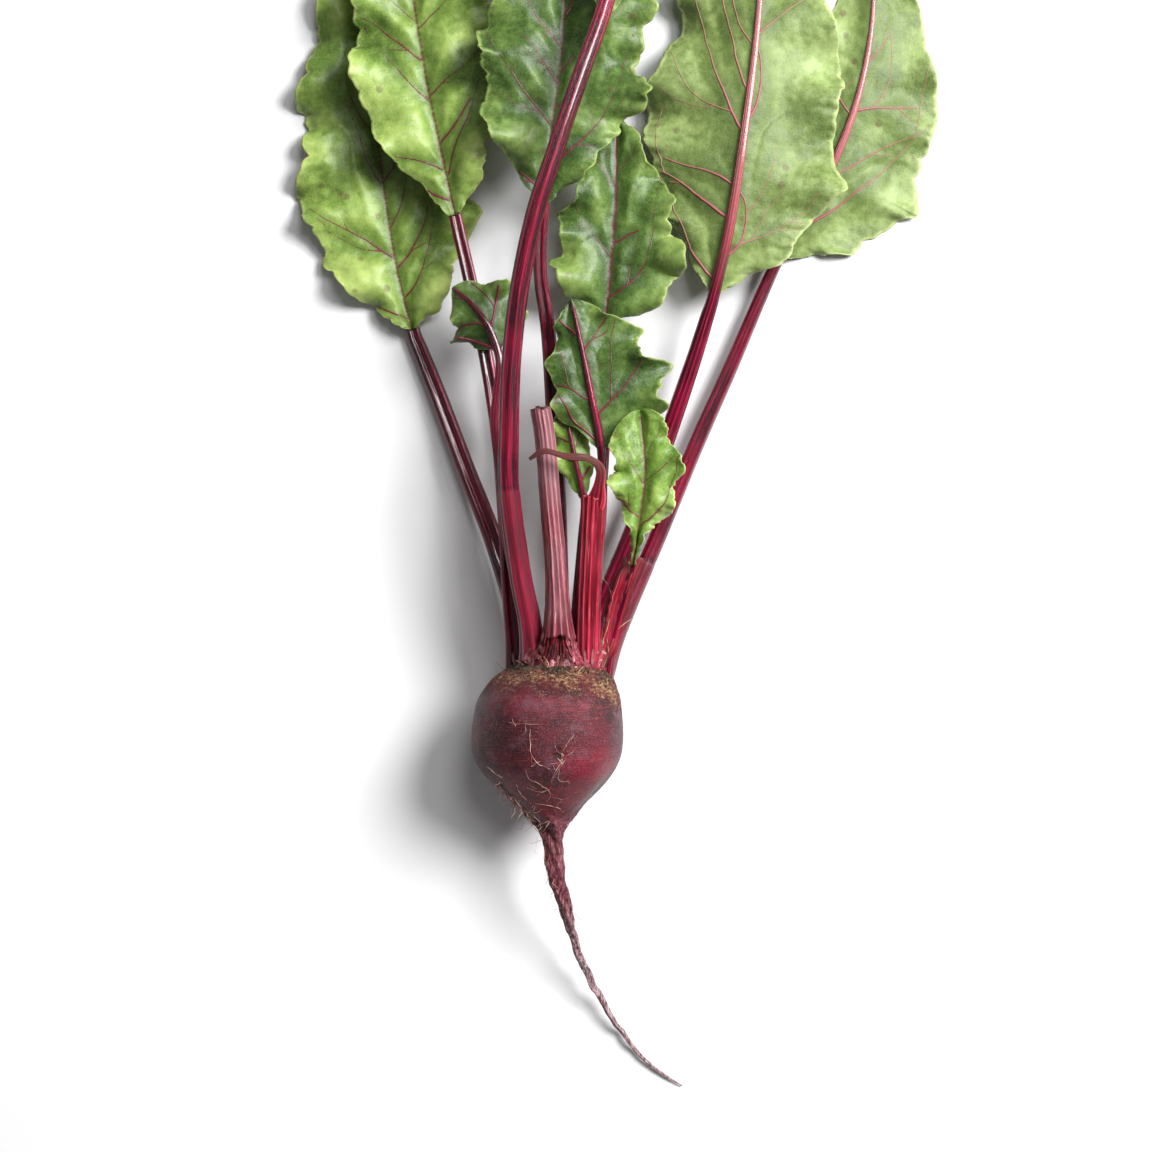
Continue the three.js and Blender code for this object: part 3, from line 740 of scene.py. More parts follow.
# %% The group that sweeps a ribbed stalk
def stalk_nodes():
    """Sweeps a ribbed, slightly flat section along a line, with streaks, and tears its end."""
    group, tree, given = new_nodes("ribbed stalk", {
        "Sides": ("Int", 48),
        "Ribs": ("Float", 9.0),
        "Rib depth": ("Float", 0.11),
        "Flatness": ("Float", 0.84),
        "Channel": ("Float", 0.0),
        "Streak": ("Float", 0.1),
        "Tear": ("Float", 0.0),
        "Seed": ("Float", 0.0),
        "Skin": ("Material", None),
    })
    half = named(tree, "half")
    curve = tree.add("GeometryNodeMeshToCurve", None, {0: given["Geometry"]})
    curve = tree.add("GeometryNodeSetCurveNormal", {"mode": "Z_UP"}, {0: curve})
    circle = circle_of(tree, given["Sides"])
    position = tree.add("GeometryNodeInputPosition")
    store = {"data_type": "FLOAT_VECTOR", "domain": "POINT"}
    circle = tree.add("GeometryNodeStoreNamedAttribute", store, {0: circle, "Name": "round", 3: position})
    x, y = tree.parts(position)
    angle = y.math("ARCTAN2", x)
    uneven = (angle * 2.0 + given["Seed"]).math("SINE") * 1.6
    uneven = uneven + (angle * 3.0 + given["Seed"] * 2.3).math("SINE")
    wave = (angle * given["Ribs"] + uneven).math("COSINE")
    height = (angle * 2.0 + given["Seed"] * 1.7).math("SINE") * 0.32 + 0.68
    ridge = (wave * 0.5 + 0.5) ** 2.4 * height
    store_one = {"data_type": "FLOAT", "domain": "POINT"}
    circle = tree.add("GeometryNodeStoreNamedAttribute", store_one, {0: circle, "Name": "ridge", 3: ridge})
    rib = (ridge - 1.0) * given["Rib depth"] + (angle * 2.0 + given["Seed"]).math("SINE") * 0.03 + 1.0
    dip = (x * x * -5.0).math("EXPONENT") * given["Channel"]
    upper = (y * -1.0).math("MAXIMUM", 0.0)
    deep = y + upper * dip
    section = tree.add("ShaderNodeCombineXYZ", None, {0: x * rib, 1: deep * rib * given["Flatness"]})
    circle = tree.add("GeometryNodeSetPosition", None, {"Geometry": circle, "Position": section})
    return group, tree, given, sweep(tree, curve, circle, half * MM), half


def close_stalk_nodes(group, tree, given, swept, half):
    """Adds the relief of streaks and the torn end, and closes the group."""
    around = named(tree, "round", "FLOAT_VECTOR")
    along = named(tree, "along")
    lengthwise = tree.add("ShaderNodeCombineXYZ", None, {2: along / 60.0 + given["Seed"]})
    stretched = tree.stretch(around, (3.4, 3.4, 0))
    streak = tree.noise(tree.vector("ADD", stretched, lengthwise), 2.2, 3.0, 0.6) - 0.5
    height = streak * given["Streak"] * half * MM
    outward = tree.vector("SCALE", tree.add("GeometryNodeInputNormal"), height)
    teeth = (tree.noise(stretched, 1.9, 4.0, 0.7) - 0.5) * given["Tear"] * named(tree, "tear") * MM
    torn = tree.vector("SCALE", named(tree, "ahead", "FLOAT_VECTOR"), teeth)
    shift = tree.vector("ADD", outward, torn)
    shaped = tree.add("GeometryNodeSetPosition", None, {"Geometry": swept, "Offset": shift})
    end_nodes(tree, shaped, given["Skin"])
    return group


STALK_NODES = close_stalk_nodes(*stalk_nodes())
print("stalk group:", len(STALK_NODES.nodes), "nodes")


# %% The group that sweeps a thin round tube
def tube_nodes():
    """Sweeps a small round section, with half as its radius, along every line of the source."""
    group, tree, given = new_nodes("thin tube", {"Sides": ("Int", 6), "Skin": ("Material", None)})
    curve = tree.add("GeometryNodeMeshToCurve", None, {0: given["Geometry"]})
    swept = sweep(tree, curve, circle_of(tree, given["Sides"]), named(tree, "half") * MM)
    end_nodes(tree, swept, given["Skin"])
    return group


TUBE_NODES = tube_nodes()


def tubes_piece(name, lines, halves, sides, skin, slot):
    """Thin tubes along lines of points, with a half width for each point."""
    source = wire(name + "_line", lines, half=halves)
    return finished(run_nodes(name, source, TUBE_NODES, {"Sides": sides, "Skin": skin}), slot)


print("tube group:", len(TUBE_NODES.nodes), "nodes")

# %% [markdown]
# ## Leaf skin
# The inner skin of a beet leaf is deep glossy green, and the outer one is paler and duller. On both, colour
# follows the veins: a thin purple-red line, and next to it a darker green that is painted shade in the
# valleys of the quilt. A lighter green where the lamina swells is painted light, and the green is also
# lighter towards the margin. Small cells give it its grain, and a few brown flecks its age.


# %% Leaf materials
LEAF_GRAIN = 0.2  # depth of the finest relief


def leaf_skin(name, tones, roughness, veined):
    """tones are the deep, middle, light and margin greens and the colour of the veins."""
    material, tree, shader, place = new_material(name, {"Specular IOR Level": 0.34})
    deep, middle, light, edge, tinge = tones
    vein, vein_valley_shade, margin, swell = (attribute(tree, key) for key in ("vein", "vein_valley_shade", "margin", "swell"))
    patches = tree.noise(place, 0.035, 3.0, 0.55)
    mottle = tree.noise(place, 0.3, 4.0, 0.65)
    net = tree.cells(place, 0.75, "DISTANCE_TO_EDGE")
    fine = tree.noise(place, 2.6, 3.0, 0.6)
    # the swell term is painted light: a lighter green where the lamina swells
    depth = (patches - 0.5) * 1.3 + (mottle - 0.5) * 0.8 + swell * 0.4 + 0.42
    flecks = tree.cells(place, 0.085)
    fleck = (0.17 - flecks).ramp(0.0, 0.09) * (patches - 0.42).ramp(0.0, 0.1)
    colour = tree.layers(
        deep,
        (depth.ramp(0.0, 0.75), middle),
        ((depth + margin * 0.3).ramp(0.55, 1.4), light),
        ((margin + (mottle - 0.5) * 0.12).ramp(0.93, 1.0) * 0.6, edge),
        ((0.12 - net).ramp(0.0, 0.12) * 0.14, light),
        # painted shade: a darker green next to the veins, in the valleys of the quilt
        (vein_valley_shade * 0.35, deep),
        (vein.ramp(0.25, 0.95) * veined, tinge),
        (fleck * 0.5, rgb(84, 50, 44)))
    rough = roughness + (mottle - 0.5) * 0.2 + (fine - 0.5) * 0.1
    height = net.ramp(0.0, 0.3) * 0.1 + fine * 0.16 + mottle * 1.0
    finish_material(tree, shader, colour, rough, height, LEAF_GRAIN)
    return material


LEAF_LOOKS = {  # the greens and the colour of the veins, the roughness, and how far that colour shows
    "fresh": (((64, 90, 32), (118, 146, 64), (172, 190, 108), (184, 196, 116), (84, 24, 34)), 0.4, 0.85),
    "inner": (((32, 54, 20), (76, 104, 44), (138, 160, 86), (158, 176, 98), (78, 20, 32)), 0.41, 0.85),
    "dark": (((14, 28, 10), (38, 58, 22), (82, 106, 46), (108, 132, 58), (70, 14, 30)), 0.39, 0.8),
    "outer": (((72, 90, 42), (112, 132, 68), (164, 182, 120), (188, 200, 136), (134, 44, 60)), 0.5, 0.55),
    "young": (((54, 88, 24), (124, 156, 60), (192, 212, 136), (206, 220, 146), (84, 24, 34)), 0.38, 0.75),
}
SKINS = {
    key: leaf_skin("leaf_" + key + "_skin", [rgb(*tone) for tone in tones], roughness, veined)
    for key, (tones, roughness, veined) in LEAF_LOOKS.items()
}
LEAF_SKINS = {  # the skin that looks up and the one below, leaf by leaf
    "long": ("inner", "outer"), "middle": ("inner", "outer"), "left": ("fresh", "outer"),
    "right": ("inner", "outer"), "far": ("inner", "outer"), "deep": ("fresh", "outer"),
    "lobed": ("dark", "inner"), "under": ("inner", "outer"), "side": ("dark", "inner"),
    "bright": ("young", "young"), "curled": ("young", "young"),
}
print("leaf materials:", [skin.name for skin in SKINS.values()])

# %% [markdown]
# ## Stalk skin
# A stalk is full of red sap under a glossy skin. Ribs run all along it, and the colour runs with them:
# streaks of crimson, deep wine in the hollows between the ribs as painted shade, and pale pink along their
# crests as a painted highlight. The streaks are noise read at the place around the stalk and the distance
# along it, so that they follow every bend.


# %% Stalk materials
STALK_NUMBERS = ("along", "ridge", "fade", "dull", "crease", "dry", "open_foot")


def stalk_skin(name, tones, roughness, streak_size, gloss):
    """tones are the hollow, body, light and blush colours. The hollow tone is also painted shade in the
    grooves, and the light tone a painted highlight on the rib crests.
    """
    shine = {"Coat Weight": gloss, "Coat Roughness": 0.1, "Specular IOR Level": 0.22}
    material, tree, shader, place = new_material(name, shine)
    hollow, body, light, blush = tones
    along, ridge, fade, dull, crease, dry, open_foot = (attribute(tree, key) for key in STALK_NUMBERS)
    ahead = tree.add("ShaderNodeCombineXYZ", None, {2: along / streak_size})
    path = tree.vector("ADD", tree.stretch(attribute(tree, "round", out=1), (2.4, 2.4, 0)), ahead)
    streaks = tree.noise(path, 1.9, 3.0, 0.55)
    threads = tree.noise(path, 6.5, 3.0, 0.6)
    patches = tree.noise(place, 0.03, 2.0)
    pores = tree.noise(place, 1.9, 3.0, 0.7)
    inside = tree.mix(threads.ramp(0.42, 0.62), rgb(38, 6, 12), rgb(128, 26, 36))
    colour = tree.layers(
        hollow,
        # painted light and shade: a little more of the body tone on the rib crests than in the grooves
        ((streaks + (ridge - 0.5) * 0.2).ramp(0.36, 0.62), body),
        # painted highlight: the light tone along the rib crests
        ((ridge + threads * 0.8).ramp(0.9, 1.4) * 0.34, light),
        ((threads + streaks * 0.5).ramp(0.84, 1.0) * 0.5, light),
        (patches.ramp(0.45, 0.72) * 0.5, blush),
        # painted shade: the hollow tone in the grooves between the ribs
        ((0.2 - ridge).ramp(0.0, 0.2) * 0.45, hollow),
        (pores.ramp(0.64, 0.74) * 0.3, hollow),
        ((fade + (streaks - 0.5) * 0.4).ramp(0.1, 0.9) * 0.85, rgb(190, 112, 112)),
        (dull * (0.2 + threads * 0.4), rgb(112, 26, 42)),
        (crease.math("MAXIMUM", 0.0) * 0.8, rgb(206, 118, 134)),
        # painted shade: a dark line in the slight groove next to the crease
        ((crease * -1.0).math("MAXIMUM", 0.0) * 0.8, hollow),
        (dry * (0.55 + threads * 0.6), rgb(92, 58, 52)),
        (open_foot.ramp(0.1, 0.6), inside))
    rough = roughness + (threads - 0.5) * 0.2 + dull * 0.15 + dry * 0.2
    height = threads * 0.8 + streaks * 0.6 + pores * 0.2 + open_foot * threads * 2.0
    finish_material(tree, shader, colour, rough, height, 0.26)
    return material


STALK_LOOKS = {  # hollow, body, light and blush, then the roughness, the streaks' length and the gloss
    "crimson": (((42, 0, 14), (126, 0, 38), (208, 54, 102), (158, 4, 56)), 0.27, 90.0, 0.65),
    "dry": (((92, 30, 40), (158, 72, 84), (226, 178, 182), (158, 122, 126)), 0.44, 30.0, 0.12),
    "torn": (((92, 4, 22), (184, 26, 54), (240, 150, 160), (198, 52, 78)), 0.34, 60.0, 0.25),
    "membrane": (((50, 8, 16), (104, 24, 38), (188, 116, 122), (132, 62, 72)), 0.42, 20.0, 0.15),
    "pale": (((132, 30, 52), (196, 92, 110), (236, 184, 184), (206, 128, 134)), 0.4, 12.0, 0.2),
}
STALK_SKINS = {
    key: stalk_skin("stalk_" + key, [rgb(*tone) for tone in tones], *finish)
    for key, (tones, *finish) in STALK_LOOKS.items()
}


def thread_skin(name, dark, light, roughness):
    """A plain two-tone skin for veins, fine roots and dry fibres."""
    material, tree, shader, place = new_material(name, {})
    blotch = tree.noise(place, 0.35, 3.0)
    colour = tree.mix(blotch.ramp(0.35, 0.65), dark, light)
    finish_material(tree, shader, colour, roughness + (blotch - 0.5) * 0.2, tree.noise(place, 4.0), 0.1)
    return material


def vein_skin(name, thin, thick, roughness):
    """Thick veins are red with sap, and thin ones take the colour of the leaf."""
    material, tree, shader, place = new_material(name, {})
    half = attribute(tree, "half")
    blotch = tree.noise(place, 0.3, 3.0)
    colour = tree.mix((half + (blotch - 0.5) * 0.3).ramp(0.3, 0.55), thin, thick)
    finish_material(tree, shader, colour, roughness + (blotch - 0.5) * 0.2, tree.noise(place, 3.0), 0.1)
    return material


VEIN_SKINS = {
    "inner": vein_skin("vein_inner", rgb(92, 46, 44), rgb(106, 26, 46), 0.4),
    "outer": vein_skin("vein_outer", rgb(138, 104, 82), rgb(160, 84, 94), 0.45),
    "small": vein_skin("vein_small", rgb(92, 44, 44), rgb(112, 26, 48), 0.4),
}
ROOTLET_SKIN = thread_skin("rootlet", rgb(140, 66, 64), rgb(224, 188, 172), 0.6)
CRUMB_SKIN = thread_skin("dry_crumb", rgb(24, 20, 16), rgb(80, 60, 42), 0.85)
HUSK_SKIN = thread_skin("dry_husk", rgb(58, 18, 24), rgb(124, 62, 62), 0.6)
FIBRE_SKIN = thread_skin("dry_fibre", rgb(104, 66, 48), rgb(196, 166, 126), 0.7)
print("stalk materials:", len(STALK_SKINS))

# %% [markdown]
# ## Stalks and blades in place
# One function makes a stalk with its midrib, and one makes the blade with its veins. Both take the leaf's
# own measures. The foot of every stalk runs on into the crown, where the root hides it.


# %% Make a stalk
def stalk_piece(name, line, halves, numbers, slot, node, inputs):
    """Sweeps a stalk along line. numbers holds what else varies along it, and is 0 where it is left out."""
    steps = np.linalg.norm(np.diff(line, axis=0), axis=1)
    along = np.concatenate([[0], np.cumsum(steps)])
    still = np.zeros(len(line))
    full = {key: still for key in ("tear", "fade", "dull", "crease", "dry")}
    full["ahead"] = np.zeros((len(line), 3))
    full.update(numbers)
    lists = {key: [value] for key, value in full.items()}
    source = wire(name + "_line", [line], half=[halves], along=[along], **lists)
    return finished(run_nodes(name, source, STALK_NODES, inputs), slot, node)


STALK_ROWS = 90
KINKED_ROWS = 240  # a crease needs closer rows
MIDRIB_ROWS = 45
FOOT_Y = 28  # where the stalks leave the crown
FLARE = 0.3  # how much a stalk widens again there
FLARE_LENGTH = 9.0
KINKS = {"long": 100, "far": 72}  # where a stalk was bent and creased, as y
PALE_RIBS = ("long", "right", "far")  # large leaves that show the pale ribs of their outer side


def leaf_stalk(name, leaf, seed):
    start = blade_start(leaf)
    along = np.linspace(0, 1, KINKED_ROWS if name in KINKS else STALK_ROWS)
    midrib = np.linspace(0, MIDRIB_SHARE, MIDRIB_ROWS)[1:]
    t = np.concatenate([along * start, start + midrib * (1 - start)])
    share = np.concatenate([along, np.ones(len(midrib))])
    halves = stalk_half(leaf["half"], share, np.concatenate([np.zeros(len(along)), midrib]))
    line = line_at(leaf["line"], t)
    halves = halves * (1 + FLARE * hill(line[:, 1] - FOOT_Y, FLARE_LENGTH))
    numbers = {"fade": np.concatenate([np.zeros(len(along)), midrib ** 0.5]) * (name in PALE_RIBS)}
    if name in KINKS:
        from_kink = line[:, 1] - KINKS[name]
        # positive values are the pale line of the crease, and negative ones a painted shade line in the
        # slight groove next to it
        numbers["crease"] = 0.2 * hill(from_kink, 0.5) - 0.7 * hill(from_kink - 1.3, 0.7)
        numbers["dull"] = 1 - smooth(from_kink, -2, 0.5)
        halves = halves * (1 + 0.04 * numbers["dull"] + 0.02 * numbers["crease"])
    channel = 0.5 if leaf["face"] > 0 else 0.0
    inputs = {"Seed": float(seed), "Channel": channel, "Skin": STALK_SKINS["crimson"]}
    return stalk_piece("stalk_" + name, line, halves, numbers, "stalk", "stalk_" + name, inputs)


for number, (key, leaf) in enumerate(LEAVES.items()):
    piece = leaf_stalk(key, leaf, number)
    print(piece.name, "faces:", len(piece.data.polygons))


# %% Make the blades with their veins
WIDE_STEP, SMALL_STEP = 1.0, 0.6  # the spacing of the grid on a large and on a small blade
WIDE_FROM = 50  # a blade wider than this is large


def leaf_blade(name, leaf, seed):
    step = WIDE_STEP if sum(leaf["width"]) > WIDE_FROM else SMALL_STEP
    middle, numbers, vein_lines = blade_sheet(leaf, seed, step)
    young = name in ("bright", "curled")
    skins = [SKINS[key] for key in LEAF_SKINS[name]]
    slot = "blade_young" if young else "blade" if leaf["face"] > 0 else "blade_under"
    blade = blade_piece("blade_" + name, middle, numbers, skins, leaf["face"])
    finished(blade, slot, "blade_" + name)
    skin = VEIN_SKINS["inner" if leaf["face"] > 0 else "outer" if name in PALE_RIBS else "small"]
    return blade, tubes_piece("veins_" + name, *zip(*vein_lines), 6, skin, "stalk")


for number, (key, leaf) in enumerate(LEAVES.items()):
    blade, veins = leaf_blade(key, leaf, number)
    print(blade.name, "faces:", len(blade.data.polygons), "vein faces:", len(veins.data.polygons))

# %% [markdown]
# ## The two leafless stalks
# One stalk was cut long ago: it is greyish pink, fibrous and ends in a slanted, ragged face. The other was
# torn off, which left a ragged rim and a strip of skin that hangs over the cut one.

# %% Cut and torn stalks
CUT_LINE = [(4, 28, 36.5), (4, 50, 43), (3, 73, 44), (1, 96, 44.5), (-1, 120, 45), (-3, 133, 45)]
CUT_HALF = (15.5, 4.1, 4.1)
TORN_LINE = [(15.5, 28, 37), (16, 57, 43), (17, 79, 46), (18, 99, 48)]
TORN_HALF = (4.8, 4.9, 5.1)
STRIP_LINE = [(18.5, 93, 50), (20, 101, 52), (20.5, 108, 54), (16, 112, 56), (7, 113, 56), (-1, 115, 55),
              (-7, 112, 52)]
END_RINGS = 12
STUB_ROWS = 180
FRAYED_FOOT = (26.5, 31)  # the y range over which the foot of such a stalk thins out, unevenly


def stub(name, points, half, ragged, skin, slot, seed):
    """A stalk that ends in a broken face: the last rings close in on themselves, and noise tears them."""
    along = np.concatenate([np.linspace(0, 0.975, STUB_ROWS), np.linspace(0.976, 0.98, END_RINGS)])
    halves = stalk_half(half, along, np.zeros(len(along)))
    closing = np.concatenate([np.ones(STUB_ROWS), np.cos(np.linspace(0.2, 1.55, END_RINGS))])
    line = line_at(points, along)
    halves = halves * (0.35 + 0.65 * smooth(line[:, 1] + 1.5 * bumps(line, 3, seed), *FRAYED_FOOT))
    numbers = {"tear": smooth(along, 0.9, 0.975) * ragged, "ahead": across(points, along)[0]}
    inputs = {"Sides": 88, "Streak": 0.26, "Rib depth": 0.07, "Tear": 1.0, "Seed": float(seed), "Skin": skin}
    return stalk_piece(name, line, halves * closing, numbers, slot, name, inputs)


cut = stub("stalk_cut", CUT_LINE, CUT_HALF, 9.0, STALK_SKINS["dry"], "stalk_dry", 21)
torn = stub("stalk_torn", TORN_LINE, TORN_HALF, 6.0, STALK_SKINS["torn"], "stalk", 22)
t = np.linspace(0, 1, 120)
strip_line = line_at(STRIP_LINE, t)
strip_half = (3.6 - 1.9 * smooth(t, 0, 0.4) - 0.9 * t**3) * (1 + 0.1 * np.sin(23 * t))
ribbon = {"Sides": 28, "Flatness": 0.2, "Streak": 0.45, "Rib depth": 0.08, "Seed": 5.0,
          "Skin": STALK_SKINS["torn"]}
strip = stalk_piece("peeled_strip", strip_line, strip_half, {"dry": smooth(t, 0.1, 0.45)}, "stalk_dry",
                    "stalk_torn", ribbon)
print("stubs:", cut.name, torn.name, strip.name)

# %% [markdown]
# The foot of the cut stalk has split open: its old skin ends in a ragged lip, and a dark red hollow shows
# below it. The hollow is pressed into the finished mesh, and a stored value tells the skin where it is.

# %% Open the foot of the cut stalk
OPEN_FOOT = dict(x=3.6, y=38.2, half_x=7.4, half_y=5.0, depth=3.2, above=41)


def open_foot(piece):
    mesh = piece.data
    place = np.zeros(len(mesh.vertices) * 3)
    mesh.vertices.foreach_get("co", place)
    place = place.reshape(-1, 3) / MM
    ragged = 0.5 * bumps(place, 1.7, 31) + 0.5 * bumps(place, 4.5, 32)
    sideways = (place[:, 0] - OPEN_FOOT["x"]) / OPEN_FOOT["half_x"]
    lengthwise = (place[:, 1] - OPEN_FOOT["y"]) / OPEN_FOOT["half_y"]
    inside = 1 - smooth(np.hypot(sideways, lengthwise) + ragged, 0.82, 1.0)
    inside = inside * (place[:, 2] > OPEN_FOOT["above"])
    ribs = 0.55 + 0.45 * bumps(place[:, :1] * np.array((1.0, 0.0)), 1.1, 33)
    place[:, 2] -= OPEN_FOOT["depth"] * inside * ribs
    mesh.vertices.foreach_set("co", (place * MM).ravel())
    mesh.attributes.new("open_foot", "FLOAT", "POINT").data.foreach_set("value", inside)
    mesh.update()
    return inside


hollow_share = open_foot(cut)
print("points in the hollow:", int((hollow_share > 0.5).sum()))

# %% [markdown]
# ## The root
# A beetroot is a swollen stem base and tap root in one. Its skin is a surface of rings along one bent axis:
# flat shoulders, a round body, a quick taper and the long tail. The rings are set closer than a millimetre,
# so that lumps, the lines round the body, the corky crown, scars and the twisted bark of the tail are all
# real relief.

# %% Measures of the root
AXIS_Z = 29.5
ROOT_RINGS = [  # middle and radius of each ring, from crown to tail
    (4.0, 34.4, AXIS_Z, 4), (3.9, 33.8, AXIS_Z, 9), (3.7, 32.6, AXIS_Z, 14), (3.4, 30.6, AXIS_Z, 18.8),
    (2.6, 27.6, AXIS_Z, 22.8), (1.6, 23, AXIS_Z, 26), (0.6, 17, AXIS_Z, 28.6), (0.2, 9, AXIS_Z, 29.8),
    (0, 1, AXIS_Z, 30), (0.1, -5, AXIS_Z, 29.2), (0.5, -10.5, AXIS_Z, 26.6), (1, -16, AXIS_Z, 21.8),
    (0.8, -21, AXIS_Z, 16.8), (0.6, -25.3, AXIS_Z, 12.4), (1, -29.6, AXIS_Z, 8.4), (1.8, -34, 29.4, 5.6),
    (2.3, -40, 29, 4.1), (2.9, -47, 27.8, 3.6), (4.4, -56, 25.4, 3.1), (6.5, -65, 22, 2.6),
    (8.7, -73, 18.6, 2.15), (11.4, -81, 15, 1.85), (15, -92, 10.6, 1.65), (21, -104, 6.6, 1.45),
    (27, -114, 3.9, 1.35), (33, -123, 2.3, 1.15), (40, -130, 1.5, 0.95), (46, -135, 1.1, 0.8),
    (54, -140, 0.7, 0.45),
]
TAIL_FROM = 14  # the ring where the sections begin to turn with the tail
SIDES = 184
ROWS = 368
GROOVES = dict(angles=(165, -20), depth=0.09, half_angle=17, y=-20, half_length=12)
DIMPLE = (4.2, -2.4, 3.0, 1.0)  # x, y, half width and depth of the scar on the upper side
CRUMB_HEAPS = [(1.5, 31), (6, 30.4), (22.5, 28.5), (-10.5, 31.5)]  # x and y of dark soil left at the crown
SEAM = [(-19, -13), (-17, -17), (-13, -21), (-10, -25), (-6, -30), (-3, -34)]  # where fine roots break out
CROWN = dict(x=5, y=30, z=28, radius=19)  # the ring of dry scales
COLLAR = dict(radius=17, half_width=4)  # the ring of crumbs inside it


# %% Shape the root
def root_rings(rows):
    """Rings at even steps over the skin: their middles, radii, directions and place along the list."""
    fine = np.linspace(0, 1, 4000)
    skin = line_at(ROOT_RINGS, fine)
    steps = np.linalg.norm(np.diff(skin, axis=0), axis=1)
    walked = np.concatenate([[0], np.cumsum(steps)])
    t = np.interp(np.linspace(0, walked[-1], rows), walked, fine)
    rings = line_at(ROOT_RINGS, t)
    index = t * (len(ROOT_RINGS) - 1)
    tail = smooth(index, TAIL_FROM, TAIL_FROM + 4)[:, None]
    lines = [ring[:3] for ring in ROOT_RINGS]
    heading = (1 - tail) * np.array((0, -1, 0)) + tail * across(lines, t)[0]
    heading /= np.linalg.norm(heading, axis=1, keepdims=True)
    bends = np.column_stack([bumps(rings[:, :3], 6, seed) for seed in (17, 18, 19)])
    middles = rings[:, :3] + 0.9 * bends * (tail * smooth(rings[:, 1], -138, -120)[:, None])
    return middles, rings[:, 3], heading, tail[:, 0]


def groove_depth(angle, y):
    near = 0
    for middle in np.radians(GROOVES["angles"]):
        turn = np.arctan2(np.sin(angle - middle), np.cos(angle - middle))
        near = near + hill(turn, math.radians(GROOVES["half_angle"]))
    return GROOVES["depth"] * hill(y - GROOVES["y"], GROOVES["half_length"]) * near


def root_grid():
    middles, radii, heading, tail = root_rings(ROWS)
    side = np.cross(heading, (0, 0, 1))
    side /= np.linalg.norm(side, axis=1, keepdims=True)
    up = np.cross(side, heading)
    angle = -np.linspace(0, 2 * np.pi, SIDES, endpoint=False)[None, :] * np.ones((ROWS, 1))
    outward = np.cos(angle)[..., None] * side[:, None] + np.sin(angle)[..., None] * up[:, None]
    y = middles[:, 1][:, None] * np.ones(SIDES)
    uneven = 1 + 0.012 * np.sin(2 * angle + 0.6) + 0.01 * np.sin(3 * angle + 1.9)
    radius = radii[:, None] * np.where(tail[:, None] < 1, uneven - groove_depth(angle, y), 1)
    points = middles[:, None] + outward * radius[..., None]

    body = smooth(y, -34, -22)
    lower_right = 0.35 * np.maximum(points[..., 0] - 6, 0)
    crown = smooth(y + lower_right + 3.5 * bumps(points, 9, 4) + 2.5 * bumps(points, 3, 14), 18.5, 28)
    rounds = np.stack([np.cos(angle) * 1.6, np.sin(angle) * 1.6, y / 1.7], axis=-1)
    bark_turn = angle + y * 0.06
    bark = np.stack([np.cos(bark_turn) * 1.3, np.sin(bark_turn) * 1.3, y / 13], axis=-1)
    relief = -0.25 + 0.45 * bumps(points, 15, 1) * body
    relief += (0.06 + 0.1 * crown) * bumps(rounds, 1.0, 2) * body
    relief += crown * (0.32 * bumps(points, 2.0, 3) + 0.26 * bumps(points, 0.95, 5))
    twist = np.cos(3 * angle + y * 0.16 + 2.0 * bumps(points, 9, 16))
    rough_tail = 0.28 * bumps(bark, 1.0, 6) + 0.08 * bumps(points, 1.7, 7) + 0.11 * twist
    relief += (1 - body) * rough_tail * radius
    dx, dy, width, depth = DIMPLE
    top = points[..., 2] > AXIS_Z
    apart = np.hypot(points[..., 0] - dx, points[..., 1] - dy)
    relief -= top * depth * hill(apart, width)
    seam = line_at(SEAM, np.linspace(0, 1, 60))
    gap = np.min(np.linalg.norm(points[:, :, None, :2] - seam, axis=-1), axis=-1)
    scar = top * hill(gap, 1.3)
    relief -= 1.1 * scar
    points = points + outward * relief[..., None]
    points[..., 2] = np.maximum(points[..., 2], 0)
    clumps = np.clip(bumps(points, 7, 12) * 2.5, 0, 1)
    hairy = 0.55 * (1 - body) * smooth(-y, 20, 34) * (1 - smooth(-y, 60, 95)) * clumps
    hairy = np.maximum(hairy, 0.7 * clumps * groove_depth(angle, y) / GROOVES["depth"])
    hairy = np.maximum(hairy, 1.6 * scar)
    ring = np.hypot(points[..., 0] - CROWN["x"], points[..., 2] - CROWN["z"])
    heaps = 0.25 + 1.6 * np.clip(bumps(points, 7, 15) + 0.15, 0, 1)
    collar = smooth(y, 27, 31) * hill(ring - COLLAR["radius"], COLLAR["half_width"]) * heaps
    for heap_x, heap_y in CRUMB_HEAPS:
        near = np.hypot(points[..., 0] - heap_x, points[..., 1] - heap_y)
        collar = collar + 1.6 * top * hill(near, 2.6)
    numbers = {"cork": crown, "tail": 1 - body, "scar": scar, "hole": top * hill(apart, 2.6)}
    return points, {**numbers, "hairy": hairy, "collar": collar}


# %% Root skin
RED_PATCHES = [(2, 17, 24, 5), (19, -8, 16, 9), (-10, -14, 13, 6), (4, -19, 13, 6)]  # middles and half sizes


